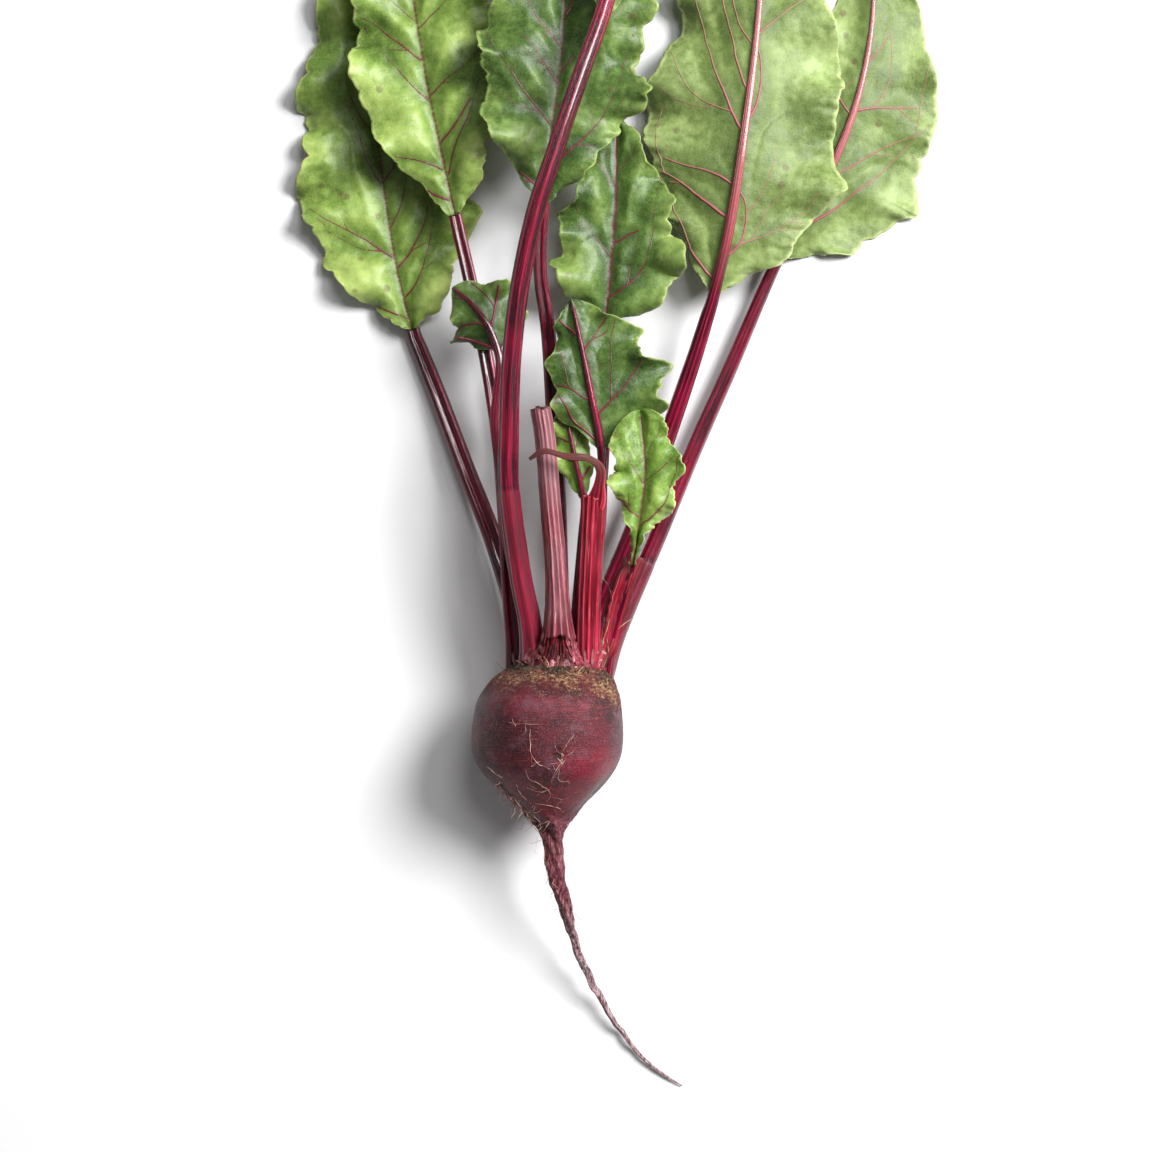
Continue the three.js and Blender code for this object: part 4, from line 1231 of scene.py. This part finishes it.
def root_colours(tree, place, cork, mottle, grain):
    """The wine-red skin of the body, and the corky crown over it."""
    x, y = tree.parts(place)
    clouds = tree.noise(place, 0.05, 3.0, 0.6)
    # painted sheen: noise for a broad lilac-grey haze on the body
    painted_sheen = tree.noise(place, 0.09, 4.0, 0.7)
    lines = tree.noise(tree.stretch(place, (0.09, 1.5, 0.09)), 1.0, 4.0, 0.65)
    scratches = tree.noise(tree.stretch(place, (0.13, 1.9, 0.13)), 1.0, 4.0, 0.7)
    coarse = tree.noise(tree.stretch(place, (0.5, 1.3, 0.5)), 1.0, 5.0, 0.8)
    worn_away = tree.noise(place, 0.16, 4.0, 0.7)
    fine_grain = tree.noise(place, 3.8, 3.0, 0.7)
    golden = (grain * 0.5 + fine_grain * 0.5 + coarse * 0.8 - worn_away * 0.5).ramp(0.7, 0.82)
    colour = tree.layers(
        rgb(44, 10, 18),
        (clouds.ramp(0.36, 0.64), rgb(86, 14, 32)),
        ((lines + (mottle - 0.5) * 0.4).ramp(0.5, 0.7) * 0.42, rgb(112, 38, 52)))
    ragged = (mottle + lines + clouds - 1.5) * 2.2
    for patch_x, patch_y, half_x, half_y in RED_PATCHES:
        aside = (x - patch_x) / half_x
        ahead = (y - patch_y) / half_y
        patch = (1.0 + ragged - aside * aside - ahead * ahead).ramp(-0.3, 1.6)
        colour = tree.mix(patch * 0.62, colour, rgb(132, 20, 44))
    colour = tree.layers(
        colour,
        (scratches.ramp(0.56, 0.7) * 0.3, rgb(150, 78, 86)),
        ((0.44 - scratches).ramp(0.0, 0.12) * 0.55, rgb(34, 8, 14)),
        # painted sheen: a lilac-grey haze over the body towards the crown, fading out towards the tail
        (painted_sheen.ramp(0.46, 0.72) * (y + 22.0).ramp(0.0, 18.0) * 0.42, rgb(118, 84, 98)),
        ((grain - mottle * 0.25).ramp(0.42, 0.54) * 0.5, rgb(156, 88, 92)),
        ((0.45 - grain).ramp(0.0, 0.1) * 0.65, rgb(34, 6, 12)),
        ((tree.noise(place, 1.3, 2.0) - 0.64).ramp(0, 0.05) * 0.5, rgb(36, 12, 16)))
    corky = tree.layers(
        rgb(76, 36, 34),
        (coarse.ramp(0.4, 0.6), rgb(146, 100, 74)),
        (worn_away.ramp(0.46, 0.6) * 0.75, rgb(104, 38, 44)),
        (golden * 0.68, rgb(206, 176, 130)),
        ((0.84 - grain - coarse * 0.8).ramp(0.0, 0.12) * 0.9, rgb(34, 16, 16)))
    worn = tree.mix((coarse * 0.6 + grain).ramp(0.8, 0.96), colour, corky)
    colour = tree.layers(
        colour,
        ((cork + (mottle - 0.5) * 1.8).ramp(-0.1, 0.6) * 0.85, worn),
        ((cork + (mottle - 0.5) * 1.2).ramp(0.45, 1.1) * 0.95, corky))
    return colour, lines, y


def root_skin():
    material, tree, shader, place = new_material("root_skin", {"Specular IOR Level": 0.26})
    cork, tail, scar, hole = (attribute(tree, key) for key in ("cork", "tail", "scar", "hole"))
    mottle = tree.noise(place, 0.4, 4.0, 0.65)
    grain = tree.noise(place, 2.4, 4.0, 0.7)
    colour, lines, y = root_colours(tree, place, cork, mottle, grain)
    cracks = tree.noise(tree.stretch(place, (1.1, 0.2, 1.1)), 1.0, 3.0, 0.6)
    fibres = tree.noise(tree.stretch(place, (1.3, 0.14, 1.3)), 1.0, 3.0, 0.6)
    thin = tree.mix(fibres.ramp(0.36, 0.62), rgb(118, 78, 86), rgb(198, 172, 176))
    bark = tree.layers(
        rgb(70, 22, 32),
        (fibres.ramp(0.36, 0.62), rgb(138, 76, 84)),
        ((-66 - y + mottle * 16).ramp(0, 30), thin),
        (cracks.ramp(0.53, 0.6) * 0.75, rgb(56, 24, 30)),
        ((0.44 - cracks).ramp(0.0, 0.08) * 0.4, rgb(186, 150, 150)))
    colour = tree.layers(
        colour,
        (tail.ramp(0.2, 0.9) * 0.9, bark),
        (scar.ramp(0.25, 0.8) * 0.75, rgb(54, 22, 22)),
        ((hole * 0.9 + grain * 0.6 + mottle * 0.5).ramp(1.05, 1.3) * 0.9, rgb(42, 20, 16)))
    rough = 0.42 + cork * 0.4 + tail * 0.25 + (mottle - 0.5) * 0.2
    height = lines * 0.35 + grain * (cork * 1.6 + 0.8) + mottle * 0.5 + (fibres - cracks) * tail * 2.0
    finish_material(tree, shader, colour, rough, height, 0.35)
    return material


# %% Close the rings into one skin
def root_piece():
    grid, numbers = root_grid()
    rows, sides = grid.shape[:2]
    ids = np.arange(rows * sides).reshape(rows, sides)
    nxt = np.roll(ids, -1, axis=1)
    quads = np.stack([ids[:-1], nxt[:-1], nxt[1:], ids[1:]], -1).reshape(-1, 4).tolist()
    crown_tip, tail_tip = rows * sides, rows * sides + 1
    caps = [(crown_tip, b, a) for a, b in zip(ids[0].tolist(), nxt[0].tolist())]
    caps += [(tail_tip, a, b) for a, b in zip(ids[-1].tolist(), nxt[-1].tolist())]
    points = np.vstack([grid.reshape(-1, 3), grid[0].mean(0), grid[-1].mean(0)])
    full = {key: np.append(value, (value[0, 0], value[-1, -1])) for key, value in numbers.items()}
    piece = mesh_piece("root_skin", points, quads + caps, [root_skin()], full)
    return finished(piece, "root", "root"), grid


root_object, root_points = root_piece()
print("root faces:", len(root_object.data.polygons))

# %% [markdown]
# ## Fine roots
# Fine roots break out of two shallow grooves and of small scars. The longest ones that lie on the upper side
# are listed one by one, and laid on the skin by looking up its height. The many short ones are scattered by
# Geometry Nodes, where the skin's own "hairy" value is high, and each grows a bent, tapering thread.

# %% Long rootlets, listed one by one
ROOTLETS = [  # routes across the upper side, as x and y
    [(-6.3, 7.7), (-6.6, 3.8), (-6, -1.5), (-3.6, -5.1), (0.8, -7.4)],
    [(10.2, 5.9), (8.2, 3.2), (5.9, -0.9), (5.5, -4.5), (3.5, -7.7), (2, -11), (1.7, -15.1)],
    [(-13.6, 12), (-12.5, 9.7), (-8.3, 10), (-1.3, 9.7)],
    [(-8.3, -7.7), (-7.1, -11.6), (-3.6, -13.3), (-0.1, -15.7), (1, -18.6), (-0.1, -21)],
    [(-19, -13.3), (-17.9, -16.9), (-13, -21.5), (-10.2, -25.7), (-6.7, -31), (-3, -35.2)],
    [(-11.9, -13.9), (-10.7, -18), (-6, -22.2)],
    [(-7.8, -15.1), (-3, -16.9), (1, -16)],
    [(-3.6, -21.9), (3.3, -23.4), (5.9, -25.4), (7.9, -23.9)],
    [(-9, -24.8), (-5.5, -25.8), (-2, -24.5)],
    [(-7.1, -38.7), (-4.5, -38.4), (-1.6, -36.5)],
    [(9.8, 4.5), (7.6, 2), (5.4, -1.1), (6.7, -3.4), (6.2, -5.2), (4.4, -7.8), (2.2, -11)],
    [(3.2, -0.6), (5.2, -1.2), (6.3, -2.9), (4.8, -4.2), (4, -3.2), (5.6, -5.4), (6.4, -4.4)],
]
THICK_ROOTLETS = (0, 4)  # places in that list
ROOT_TOP = root_points[root_points[..., 2] > root_points[..., 2].mean(axis=1, keepdims=True)]
ROOT_TREE = flat_tree(ROOT_TOP)


def root_height(x, y):
    """The height of the root's upper side."""
    return ROOT_TOP[ROOT_TREE.find((x, y, 0))[1]][2]


def laid_rootlet(route, seed, half):
    """A thread along a route, laid on the skin, with small bends of its own."""
    t = np.linspace(0, 1, 16 * len(route))
    flat = line_at([(x, y, 0) for x, y in route], t)
    for axis in (0, 1):
        flat[:, axis] += 0.5 * bumps(flat, 2.6, seed + axis) + 0.22 * bumps(flat, 1.0, seed + axis + 20)
    lift = 0.12 + 0.7 * np.maximum(0, bumps(flat, 5, seed + 2))
    heights = [root_height(x, y) for x, y, _ in flat]
    line = np.column_stack([flat[:, 0], flat[:, 1], heights + lift])
    line[1:-1] = (line[:-2] + line[1:-1] * 2 + line[2:]) / 4
    return line, half * (0.35 + 0.65 * np.sin(np.pi * np.clip(t * 0.8 + 0.15, 0, 1)))


threads = []
branch_rng = np.random.default_rng(5)
for seed, route in enumerate(ROOTLETS):
    half = 0.16 if seed in THICK_ROOTLETS else 0.09
    threads.append(laid_rootlet(route, seed, half))
    for _ in range(2):
        foot = np.array(route[branch_rng.integers(1, len(route) - 1)])
        steps = branch_rng.normal(0, 1.3, (3, 2)) + branch_rng.normal(0, 0.8, 2)
        branch = [tuple(foot), *map(tuple, foot + np.cumsum(steps, axis=0))]
        threads.append(laid_rootlet(branch, seed + 40, 0.6 * half))
for strand in range(16):
    start, end = sorted(branch_rng.uniform(0, 1, 2))
    places = line_at(SEAM, np.linspace(start, min(start + 0.25 + 0.5 * end, 1), 6))
    places = places + branch_rng.normal(0, 0.7, places.shape)
    threads.append(laid_rootlet([tuple(place) for place in places], 60 + strand, 0.11))
tubes_piece("long_rootlets", *zip(*threads), 5, ROOTLET_SKIN, "root")
print("long rootlets:", len(threads))


# %% The group that scatters bent threads
def hair_nodes():
    """Scatters tapering threads over a surface, as dense as a named value on it says."""
    group, tree, given = new_nodes("fine threads", {
        "Density": ("Float", 0.3),
        "Length": ("Float", 5.0),
        "Half": ("Float", 0.12),
        "Bend": ("Float", 3.0),
        "Standing": ("Float", 0.4),
        "Seed": ("Int", 1),
        "Where": ("String", "hairy"),
        "Skin": ("Material", None),
    })
    where = tree.add("GeometryNodeInputNamedAttribute", {"data_type": "FLOAT"}, {"Name": given["Where"]})
    scatter = scattered(tree, given, where * given["Density"])
    normal = scatter.other(1)
    wild = random_vector(tree, given, (-1, -1.6, -1), (1, 0.7, 1))
    heading = tree.vector("ADD", wild, tree.vector("SCALE", normal, given["Standing"]))
    inward = tree.vector("DOT_PRODUCT", heading, normal, out=1)
    push = (inward * -1.0).math("MAXIMUM", 0.0) + 0.15
    heading = tree.vector("ADD", heading, tree.vector("SCALE", normal, push))
    turn = tree.add("FunctionNodeAlignRotationToVector", {"axis": "Z"}, {"Vector": heading})
    size = tree.add("FunctionNodeRandomValue", {"data_type": "FLOAT"},
                    {2: 0.35, 3: 1.0, "Seed": given["Seed"]}, out=1) * given["Length"] * MM
    stem = tree.add("GeometryNodeCurvePrimitiveLine", {"mode": "DIRECTION"},
                    {"Direction": (0, 0, 1), "Length": 1.0})
    stem = tree.add("GeometryNodeResampleCurve", None, {"Curve": stem, "Count": 9})
    stems = tree.add("GeometryNodeInstanceOnPoints", None,
                     {"Points": scatter, "Instance": stem, "Rotation": turn, "Scale": size})
    stems = tree.add("GeometryNodeRealizeInstances", None, {"Geometry": stems})
    factor = tree.add("GeometryNodeSplineParameter")
    wander = tree.noise(tree.add("GeometryNodeInputPosition"), 0.16 / MM, 2.0).other(1)
    wander = tree.vector("SUBTRACT", wander, (0.5, 0.5, 0.5))
    bent = tree.vector("SCALE", wander, factor * given["Bend"] * MM)
    stems = tree.add("GeometryNodeSetPosition", None, {"Geometry": stems, "Offset": bent})
    taper = (factor * -0.75 + 1.0) * given["Half"] * MM
    end_nodes(tree, sweep(tree, stems, circle_of(tree, 4), taper), given["Skin"])
    return group


THREAD_NODES = hair_nodes()


def scatter_on_root(name, group, values):
    """Runs a scattering group on a copy of the root's skin."""
    source = new_object(name + "_source", root_object.data.copy())
    return finished(run_nodes(name, source, group, values), "root")


hairs = scatter_on_root("root_hairs", THREAD_NODES, {
    "Density": 0.13, "Length": 9.0, "Bend": 9.0, "Standing": 0.1, "Skin": ROOTLET_SKIN})
print("hair faces:", len(hairs.data.polygons))

# %% [markdown]
# ## The crown
# Round the stalks stand the dry feet of older leaves: thin maroon scales with torn tips. Between them lie
# dark crumbs of soil and bark, and a few pale fibres. The scales are small curved sheets on the same ring as
# the solid's, and Geometry Nodes scatter the crumbs and the fibres.

# %% Scales of old leaves
SCALES = 70
SCALE_TURN = 2.4  # the angle from one scale to the next, as leaves grow round a stem
SCALE_THICK = 0.24


def scale_sheet(rng, turn, out, length, half, lean):
    """One dry scale: a curved, torn strip that stands on the crown ring at an angle turn."""
    rows, columns = 10, 9
    t, v = sheet_grid(-0.35, 1, rows, columns)
    outward = np.array((math.cos(turn), 0, math.sin(turn)))
    aside = np.array((-math.sin(turn), 0, math.cos(turn)))
    foot = np.array((CROWN["x"], CROWN["y"], CROWN["z"])) + out * outward
    ragged = 0.4 + 1.1 * rng.random(columns + 1)
    high = np.where(t > 0.2, t * (0.7 + 0.3 * ragged), t) * length
    wide = half * np.where(t > 0, (1 - np.clip(t, 0, 1) ** 2.5) ** 0.6 + 0.12, 1.12)
    curl = math.radians(lean) * t + rng.uniform(-0.2, 0.3) * t**2
    bow = -0.35 * half * v**2
    grid = foot + (v * wide)[..., None] * aside
    grid = grid + (high * np.cos(curl))[..., None] * np.array((0, 1, 0))
    grid = grid + (high * np.sin(curl) + bow)[..., None] * outward
    crumple = 0.7 * bumps(grid, 2.0, turn * 7)
    return grid + (crumple * np.clip(t + 0.3, 0, 1))[..., None] * outward


def crown_scales():
    rng = np.random.default_rng(11)
    points, faces, count = [], [], 0
    for i in range(SCALES):
        turn = i * SCALE_TURN
        outer = i % 2
        length = rng.uniform(2.5, 6.5) if outer else rng.uniform(3, 6)
        out = CROWN["radius"] * (0.97 if outer else rng.uniform(0.35, 0.85)) + rng.uniform(-0.9, 0.2)
        sheet = scale_sheet(rng, turn, out, length, rng.uniform(0.7, 2.4), rng.uniform(-8, 30))
        part, sides, _ = closed_sheet(sheet, np.full(sheet.shape[:2], SCALE_THICK / 2))
        points.append(part)
        faces.append(sides + count)
        count += len(part)
    return mesh_piece("crown_scales", np.vstack(points), np.vstack(faces).tolist(), [HUSK_SKIN], {})


scales = finished(crown_scales(), "stalk_dry")
print("scale faces:", len(scales.data.polygons))

# %% [markdown]
# Thin dry strips run from the crown up the stalks: what is left of the skins of older leaves. Each is given
# as a route seen from above, and a ray cast downwards finds the surface that it lies on. The young leaf's
# stalk is wrapped in such strips up to a ragged brown end.

# %% Lay strips on what is below them
FOOT_STRIPS = [  # route, half width at its foot and at its end, and how brown it is
    ([(-9, 32.6), (-5.6, 35.4), (-2.2, 39.8), (-1.2, 46)], (1.8, 1.0), 0.35),
    ([(-10.4, 31.8), (-8.8, 34.6), (-6.6, 39)], (1.3, 0.6), 0.3),
    ([(-4.6, 33), (-2.8, 35.6), (-0.6, 39.8)], (0.8, 0.4), 0.2),
    ([(-0.8, 33.2), (0.6, 35.6), (1.6, 40.2)], (0.7, 0.35), 0.0),
    ([(2.6, 33.2), (3, 36), (3.4, 41)], (0.9, 0.4), 0.0),
    ([(6.6, 32.8), (5.6, 36), (5.4, 41.4)], (0.8, 0.4), 0.1),
    ([(9.8, 32.2), (8, 35), (7.2, 39)], (0.7, 0.35), 0.0),
    ([(21.6, 29), (22.6, 32), (24.2, 36)], (1.2, 0.6), 0.4),
]
PALE_STRIPS = [
    ([(13.4, 30.8), (11.4, 34.5), (8.6, 39.6), (7.6, 44)], (1.9, 1.1), 0.15),
    ([(15.2, 30.2), (13.0, 33), (11.0, 37.2), (10.2, 42)], (1.4, 0.7), 0.0),
    ([(16.4, 30.0), (15.2, 33.4), (14.4, 38.4)], (1.2, 0.6), 0.0),
    ([(17.8, 29.8), (17.6, 33.6), (17.8, 39.2)], (1.1, 0.5), 0.0),
    ([(19.2, 29.6), (19.9, 33), (20.8, 37.4)], (1.1, 0.5), 0.0),
    ([(20.6, 29.2), (21.8, 32), (23.0, 35.6)], (0.9, 0.4), 0.1),
]
SHEATH_STRIPS = [
    ([(14.4, 32.4), (21.2, 40.6), (22.8, 53.6), (25.4, 62.4), (29.6, 71.4), (30.6, 75)], (1.3, 1.1), 0.75),
    ([(18.2, 31), (23, 41), (25.6, 54), (28.6, 63.6), (32.6, 73.6)], (2.3, 2.2), 0.12),
    ([(20, 29), (25.6, 38.4), (29.2, 51), (32.2, 62), (35.4, 71.8), (37.6, 73.4)], (1.9, 1.3), 0.3),
]
DRY_FIBRES = [
    [(21.1, 66.6), (22.5, 64.5), (23.9, 62.8), (25.6, 56.5)],
    [(27.7, 46.2), (30.5, 48.5), (34, 50.6)],
    [(6.7, 30), (9.8, 28.6), (12.9, 28.3)],
    [(-12.6, 33.7), (-9.4, 32.4), (-7, 31.8)],
    [(15.8, 33), (12.8, 30.4), (11, 27.6)],
    [(24.4, 52), (23.4, 46.6), (21.8, 41.8), (21.2, 35)],
    [(21.8, 31), (23.6, 36.8), (23.2, 42.4)],
    [(-1.6, 35.6), (0.4, 32.4), (-1.2, 30.6)],
]
GAP_DEPTH = 10  # what lies deeper than this is a gap, and a strip spans it
SPANS, SMOOTHINGS = 6, 16  # rounds that pull a line taut over dips, and that soften it


def draped(route, count, lift):
    """A line along a route of x and y that lies on whatever is topmost there, and spans the gaps."""
    flat = line_at([(x, y, 0) for x, y in route], np.linspace(0, 1, count))
    graph = bpy.context.evaluated_depsgraph_get()
    heights = []
    for x, y, _ in flat:
        start = Vector((x * MM, y * MM, 0.2))
        found, place, *_ = bpy.context.scene.ray_cast(graph, start, Vector((0, 0, -1)))
        heights.append(place.z / MM if found else 0)
    heights = np.array(heights)
    held = heights > heights.max() - GAP_DEPTH
    heights = np.interp(np.arange(count), np.flatnonzero(held), heights[held])
    for _ in range(SPANS):
        heights[1:-1] = np.maximum(heights[1:-1], (heights[:-2] + heights[2:]) / 2)
    for _ in range(SMOOTHINGS):
        heights[1:-1] = (heights[:-2] + heights[2:]) / 2
    flat[:, 2] = heights + lift
    return flat


def strips_piece(name, strips, skin, seed):
    """Thin flat strips, each laid along its route, uneven in width and torn at the end."""
    lines, halves, alongs, browns = [], [], [], []
    for number, (route, (foot, end), brown) in enumerate(strips):
        count = 26 * len(route)
        line = draped(route, count, 0.15)
        t = np.linspace(0, 1, count)
        half = foot + (end - foot) * t
        half = half * (1 + 0.25 * bumps(line, 3.0, seed + number)) * (1 - 0.85 * smooth(t, 0.84, 1))
        line[:, 0] += 0.35 * bumps(line, 5.0, seed + number + 30)
        line[:, 2] -= 2.2 * hill(t, 0.12)
        lines.append(line)
        halves.append(half)
        alongs.append(t * np.linalg.norm(line[-1] - line[0]))
        browns.append(np.clip(brown + 0.5 * bumps(line, 6.0, seed) + 0.9 * smooth(t, 0.8, 1), 0, 1))
    source = wire(name + "_line", lines, half=halves, along=alongs, dry=browns)
    ribbon = {"Sides": 20, "Flatness": 0.24, "Streak": 0.5, "Rib depth": 0.1, "Skin": skin}
    return finished(run_nodes(name, source, STALK_NODES, ribbon), "stalk_dry")


strip_sets = [
    strips_piece("foot_strips", FOOT_STRIPS, STALK_SKINS["membrane"], 60),
    strips_piece("pale_strips", PALE_STRIPS, STALK_SKINS["pale"], 70),
    strips_piece("young_sheath", SHEATH_STRIPS, STALK_SKINS["torn"], 80),
]
fibre_lines = [draped(route, 20 * len(route), 0.3) for route in DRY_FIBRES]
fibre_halves = [0.17 * np.sin(np.linspace(0.5, 2.9, len(line))) for line in fibre_lines]
tubes_piece("dry_fibres", fibre_lines, fibre_halves, 6, FIBRE_SKIN, "root")
print("strip faces:", sum(len(piece.data.polygons) for piece in strip_sets))


# %% Crumbs and fibres between them
def crumb_nodes():
    """Scatters small rough lumps over a surface, as dense as its "collar" value says."""
    group, tree, given = new_nodes("crumbs", {
        "Density": ("Float", 0.4),
        "Size": ("Float", 0.6),
        "Seed": ("Int", 3),
        "Skin": ("Material", None),
    })
    scatter = scattered(tree, given, named(tree, "collar") * given["Density"])
    lump = tree.add("GeometryNodeMeshIcoSphere", None, {"Radius": 1.0, "Subdivisions": 1})
    size = random_vector(tree, given, (0.4, 0.4, 0.4), (1.5, 1.5, 0.9))
    size = tree.vector("SCALE", size, given["Size"] * MM)
    turn = random_vector(tree, given, (0, 0, 0), (6, 6, 6))
    lumps = tree.add("GeometryNodeInstanceOnPoints", None,
                     {"Points": scatter, "Instance": lump, "Rotation": turn, "Scale": size})
    end_nodes(tree, lumps, given["Skin"])
    return group


CRUMB_NODES = crumb_nodes()
crumbs = scatter_on_root("crown_crumbs", CRUMB_NODES, {"Density": 1.5, "Size": 0.5, "Skin": CRUMB_SKIN})
crumbs.data.shade_flat()
fibres = scatter_on_root("crown_fibres", THREAD_NODES, {
    "Where": "collar", "Density": 0.05, "Length": 6.0, "Half": 0.13, "Bend": 5.0, "Standing": 0.6,
    "Seed": 8, "Skin": FIBRE_SKIN})
print("crumb faces:", len(crumbs.data.polygons), "fibre faces:", len(fibres.data.polygons))

# %% [markdown]
# ## Floor, light and camera
# The picture is a flat lay: the camera looks straight down, on a white floor under one broad soft light from
# the upper right, so shadows are pale and fall to the left.

# %% Floor
FLOOR_HALF = 3.0
FLOOR_Z = -0.0002
floor_mesh = bpy.data.meshes.new("floor")
corners = [(x * FLOOR_HALF, y * FLOOR_HALF, FLOOR_Z) for x, y in ((-1, -1), (1, -1), (1, 1), (-1, 1))]
floor_mesh.from_pydata(corners, [], [(0, 1, 2, 3)])
floor_material, *_ = new_material("white_floor", {"Roughness": 0.7, "Base Color": (0.8, 0.8, 0.81, 1)})
floor_mesh.materials.append(floor_material)
new_object("floor", floor_mesh)
print("floor is", 2 * FLOOR_HALF, "m wide")


# %% Lights
MIDDLE = Vector((0.02, 0.08, 0.02))  # what the lights point at
WORLD_STRENGTH = 0.17


def soft_light(name, place, size, watts):
    """A round lamp at a place in metres, turned to the middle of the plant."""
    data = bpy.data.lights.new(name, "AREA")
    data.shape = "DISK"
    data.size = size
    data.energy = watts
    light = new_object(name, data)
    light.location = place
    light.rotation_euler = (MIDDLE - Vector(place)).to_track_quat("-Z", "Y").to_euler()


soft_light("key", (1.1, 0.75, 1.25), 0.9, 62)
soft_light("top", (0.4, 1.0, 1.9), 0.8, 12)
world = bpy.data.worlds.new("white_room")
world.use_nodes = True
background = world.node_tree.nodes["Background"]
background.inputs["Color"].default_value = (1, 1, 1, 1)
background.inputs["Strength"].default_value = WORLD_STRENGTH
bpy.context.scene.world = world
bpy.context.scene.view_settings.view_transform = "Standard"

# %% Camera
CAMERA_X, CAMERA_Y, CAMERA_HEIGHT = 0.01106, 0.0668, 1.1
SENSOR = 36
FRAME_WIDTH = 0.455  # how wide the picture is, at the height of the root's axis
camera_data = bpy.data.cameras.new("camera")
camera_data.sensor_width = SENSOR
camera_data.lens = SENSOR * (CAMERA_HEIGHT - AXIS_Z * MM) / FRAME_WIDTH
camera = new_object("camera", camera_data)
camera.location = (CAMERA_X, CAMERA_Y, CAMERA_HEIGHT)
bpy.context.scene.camera = camera
print("lens:", round(camera_data.lens, 1), "mm")
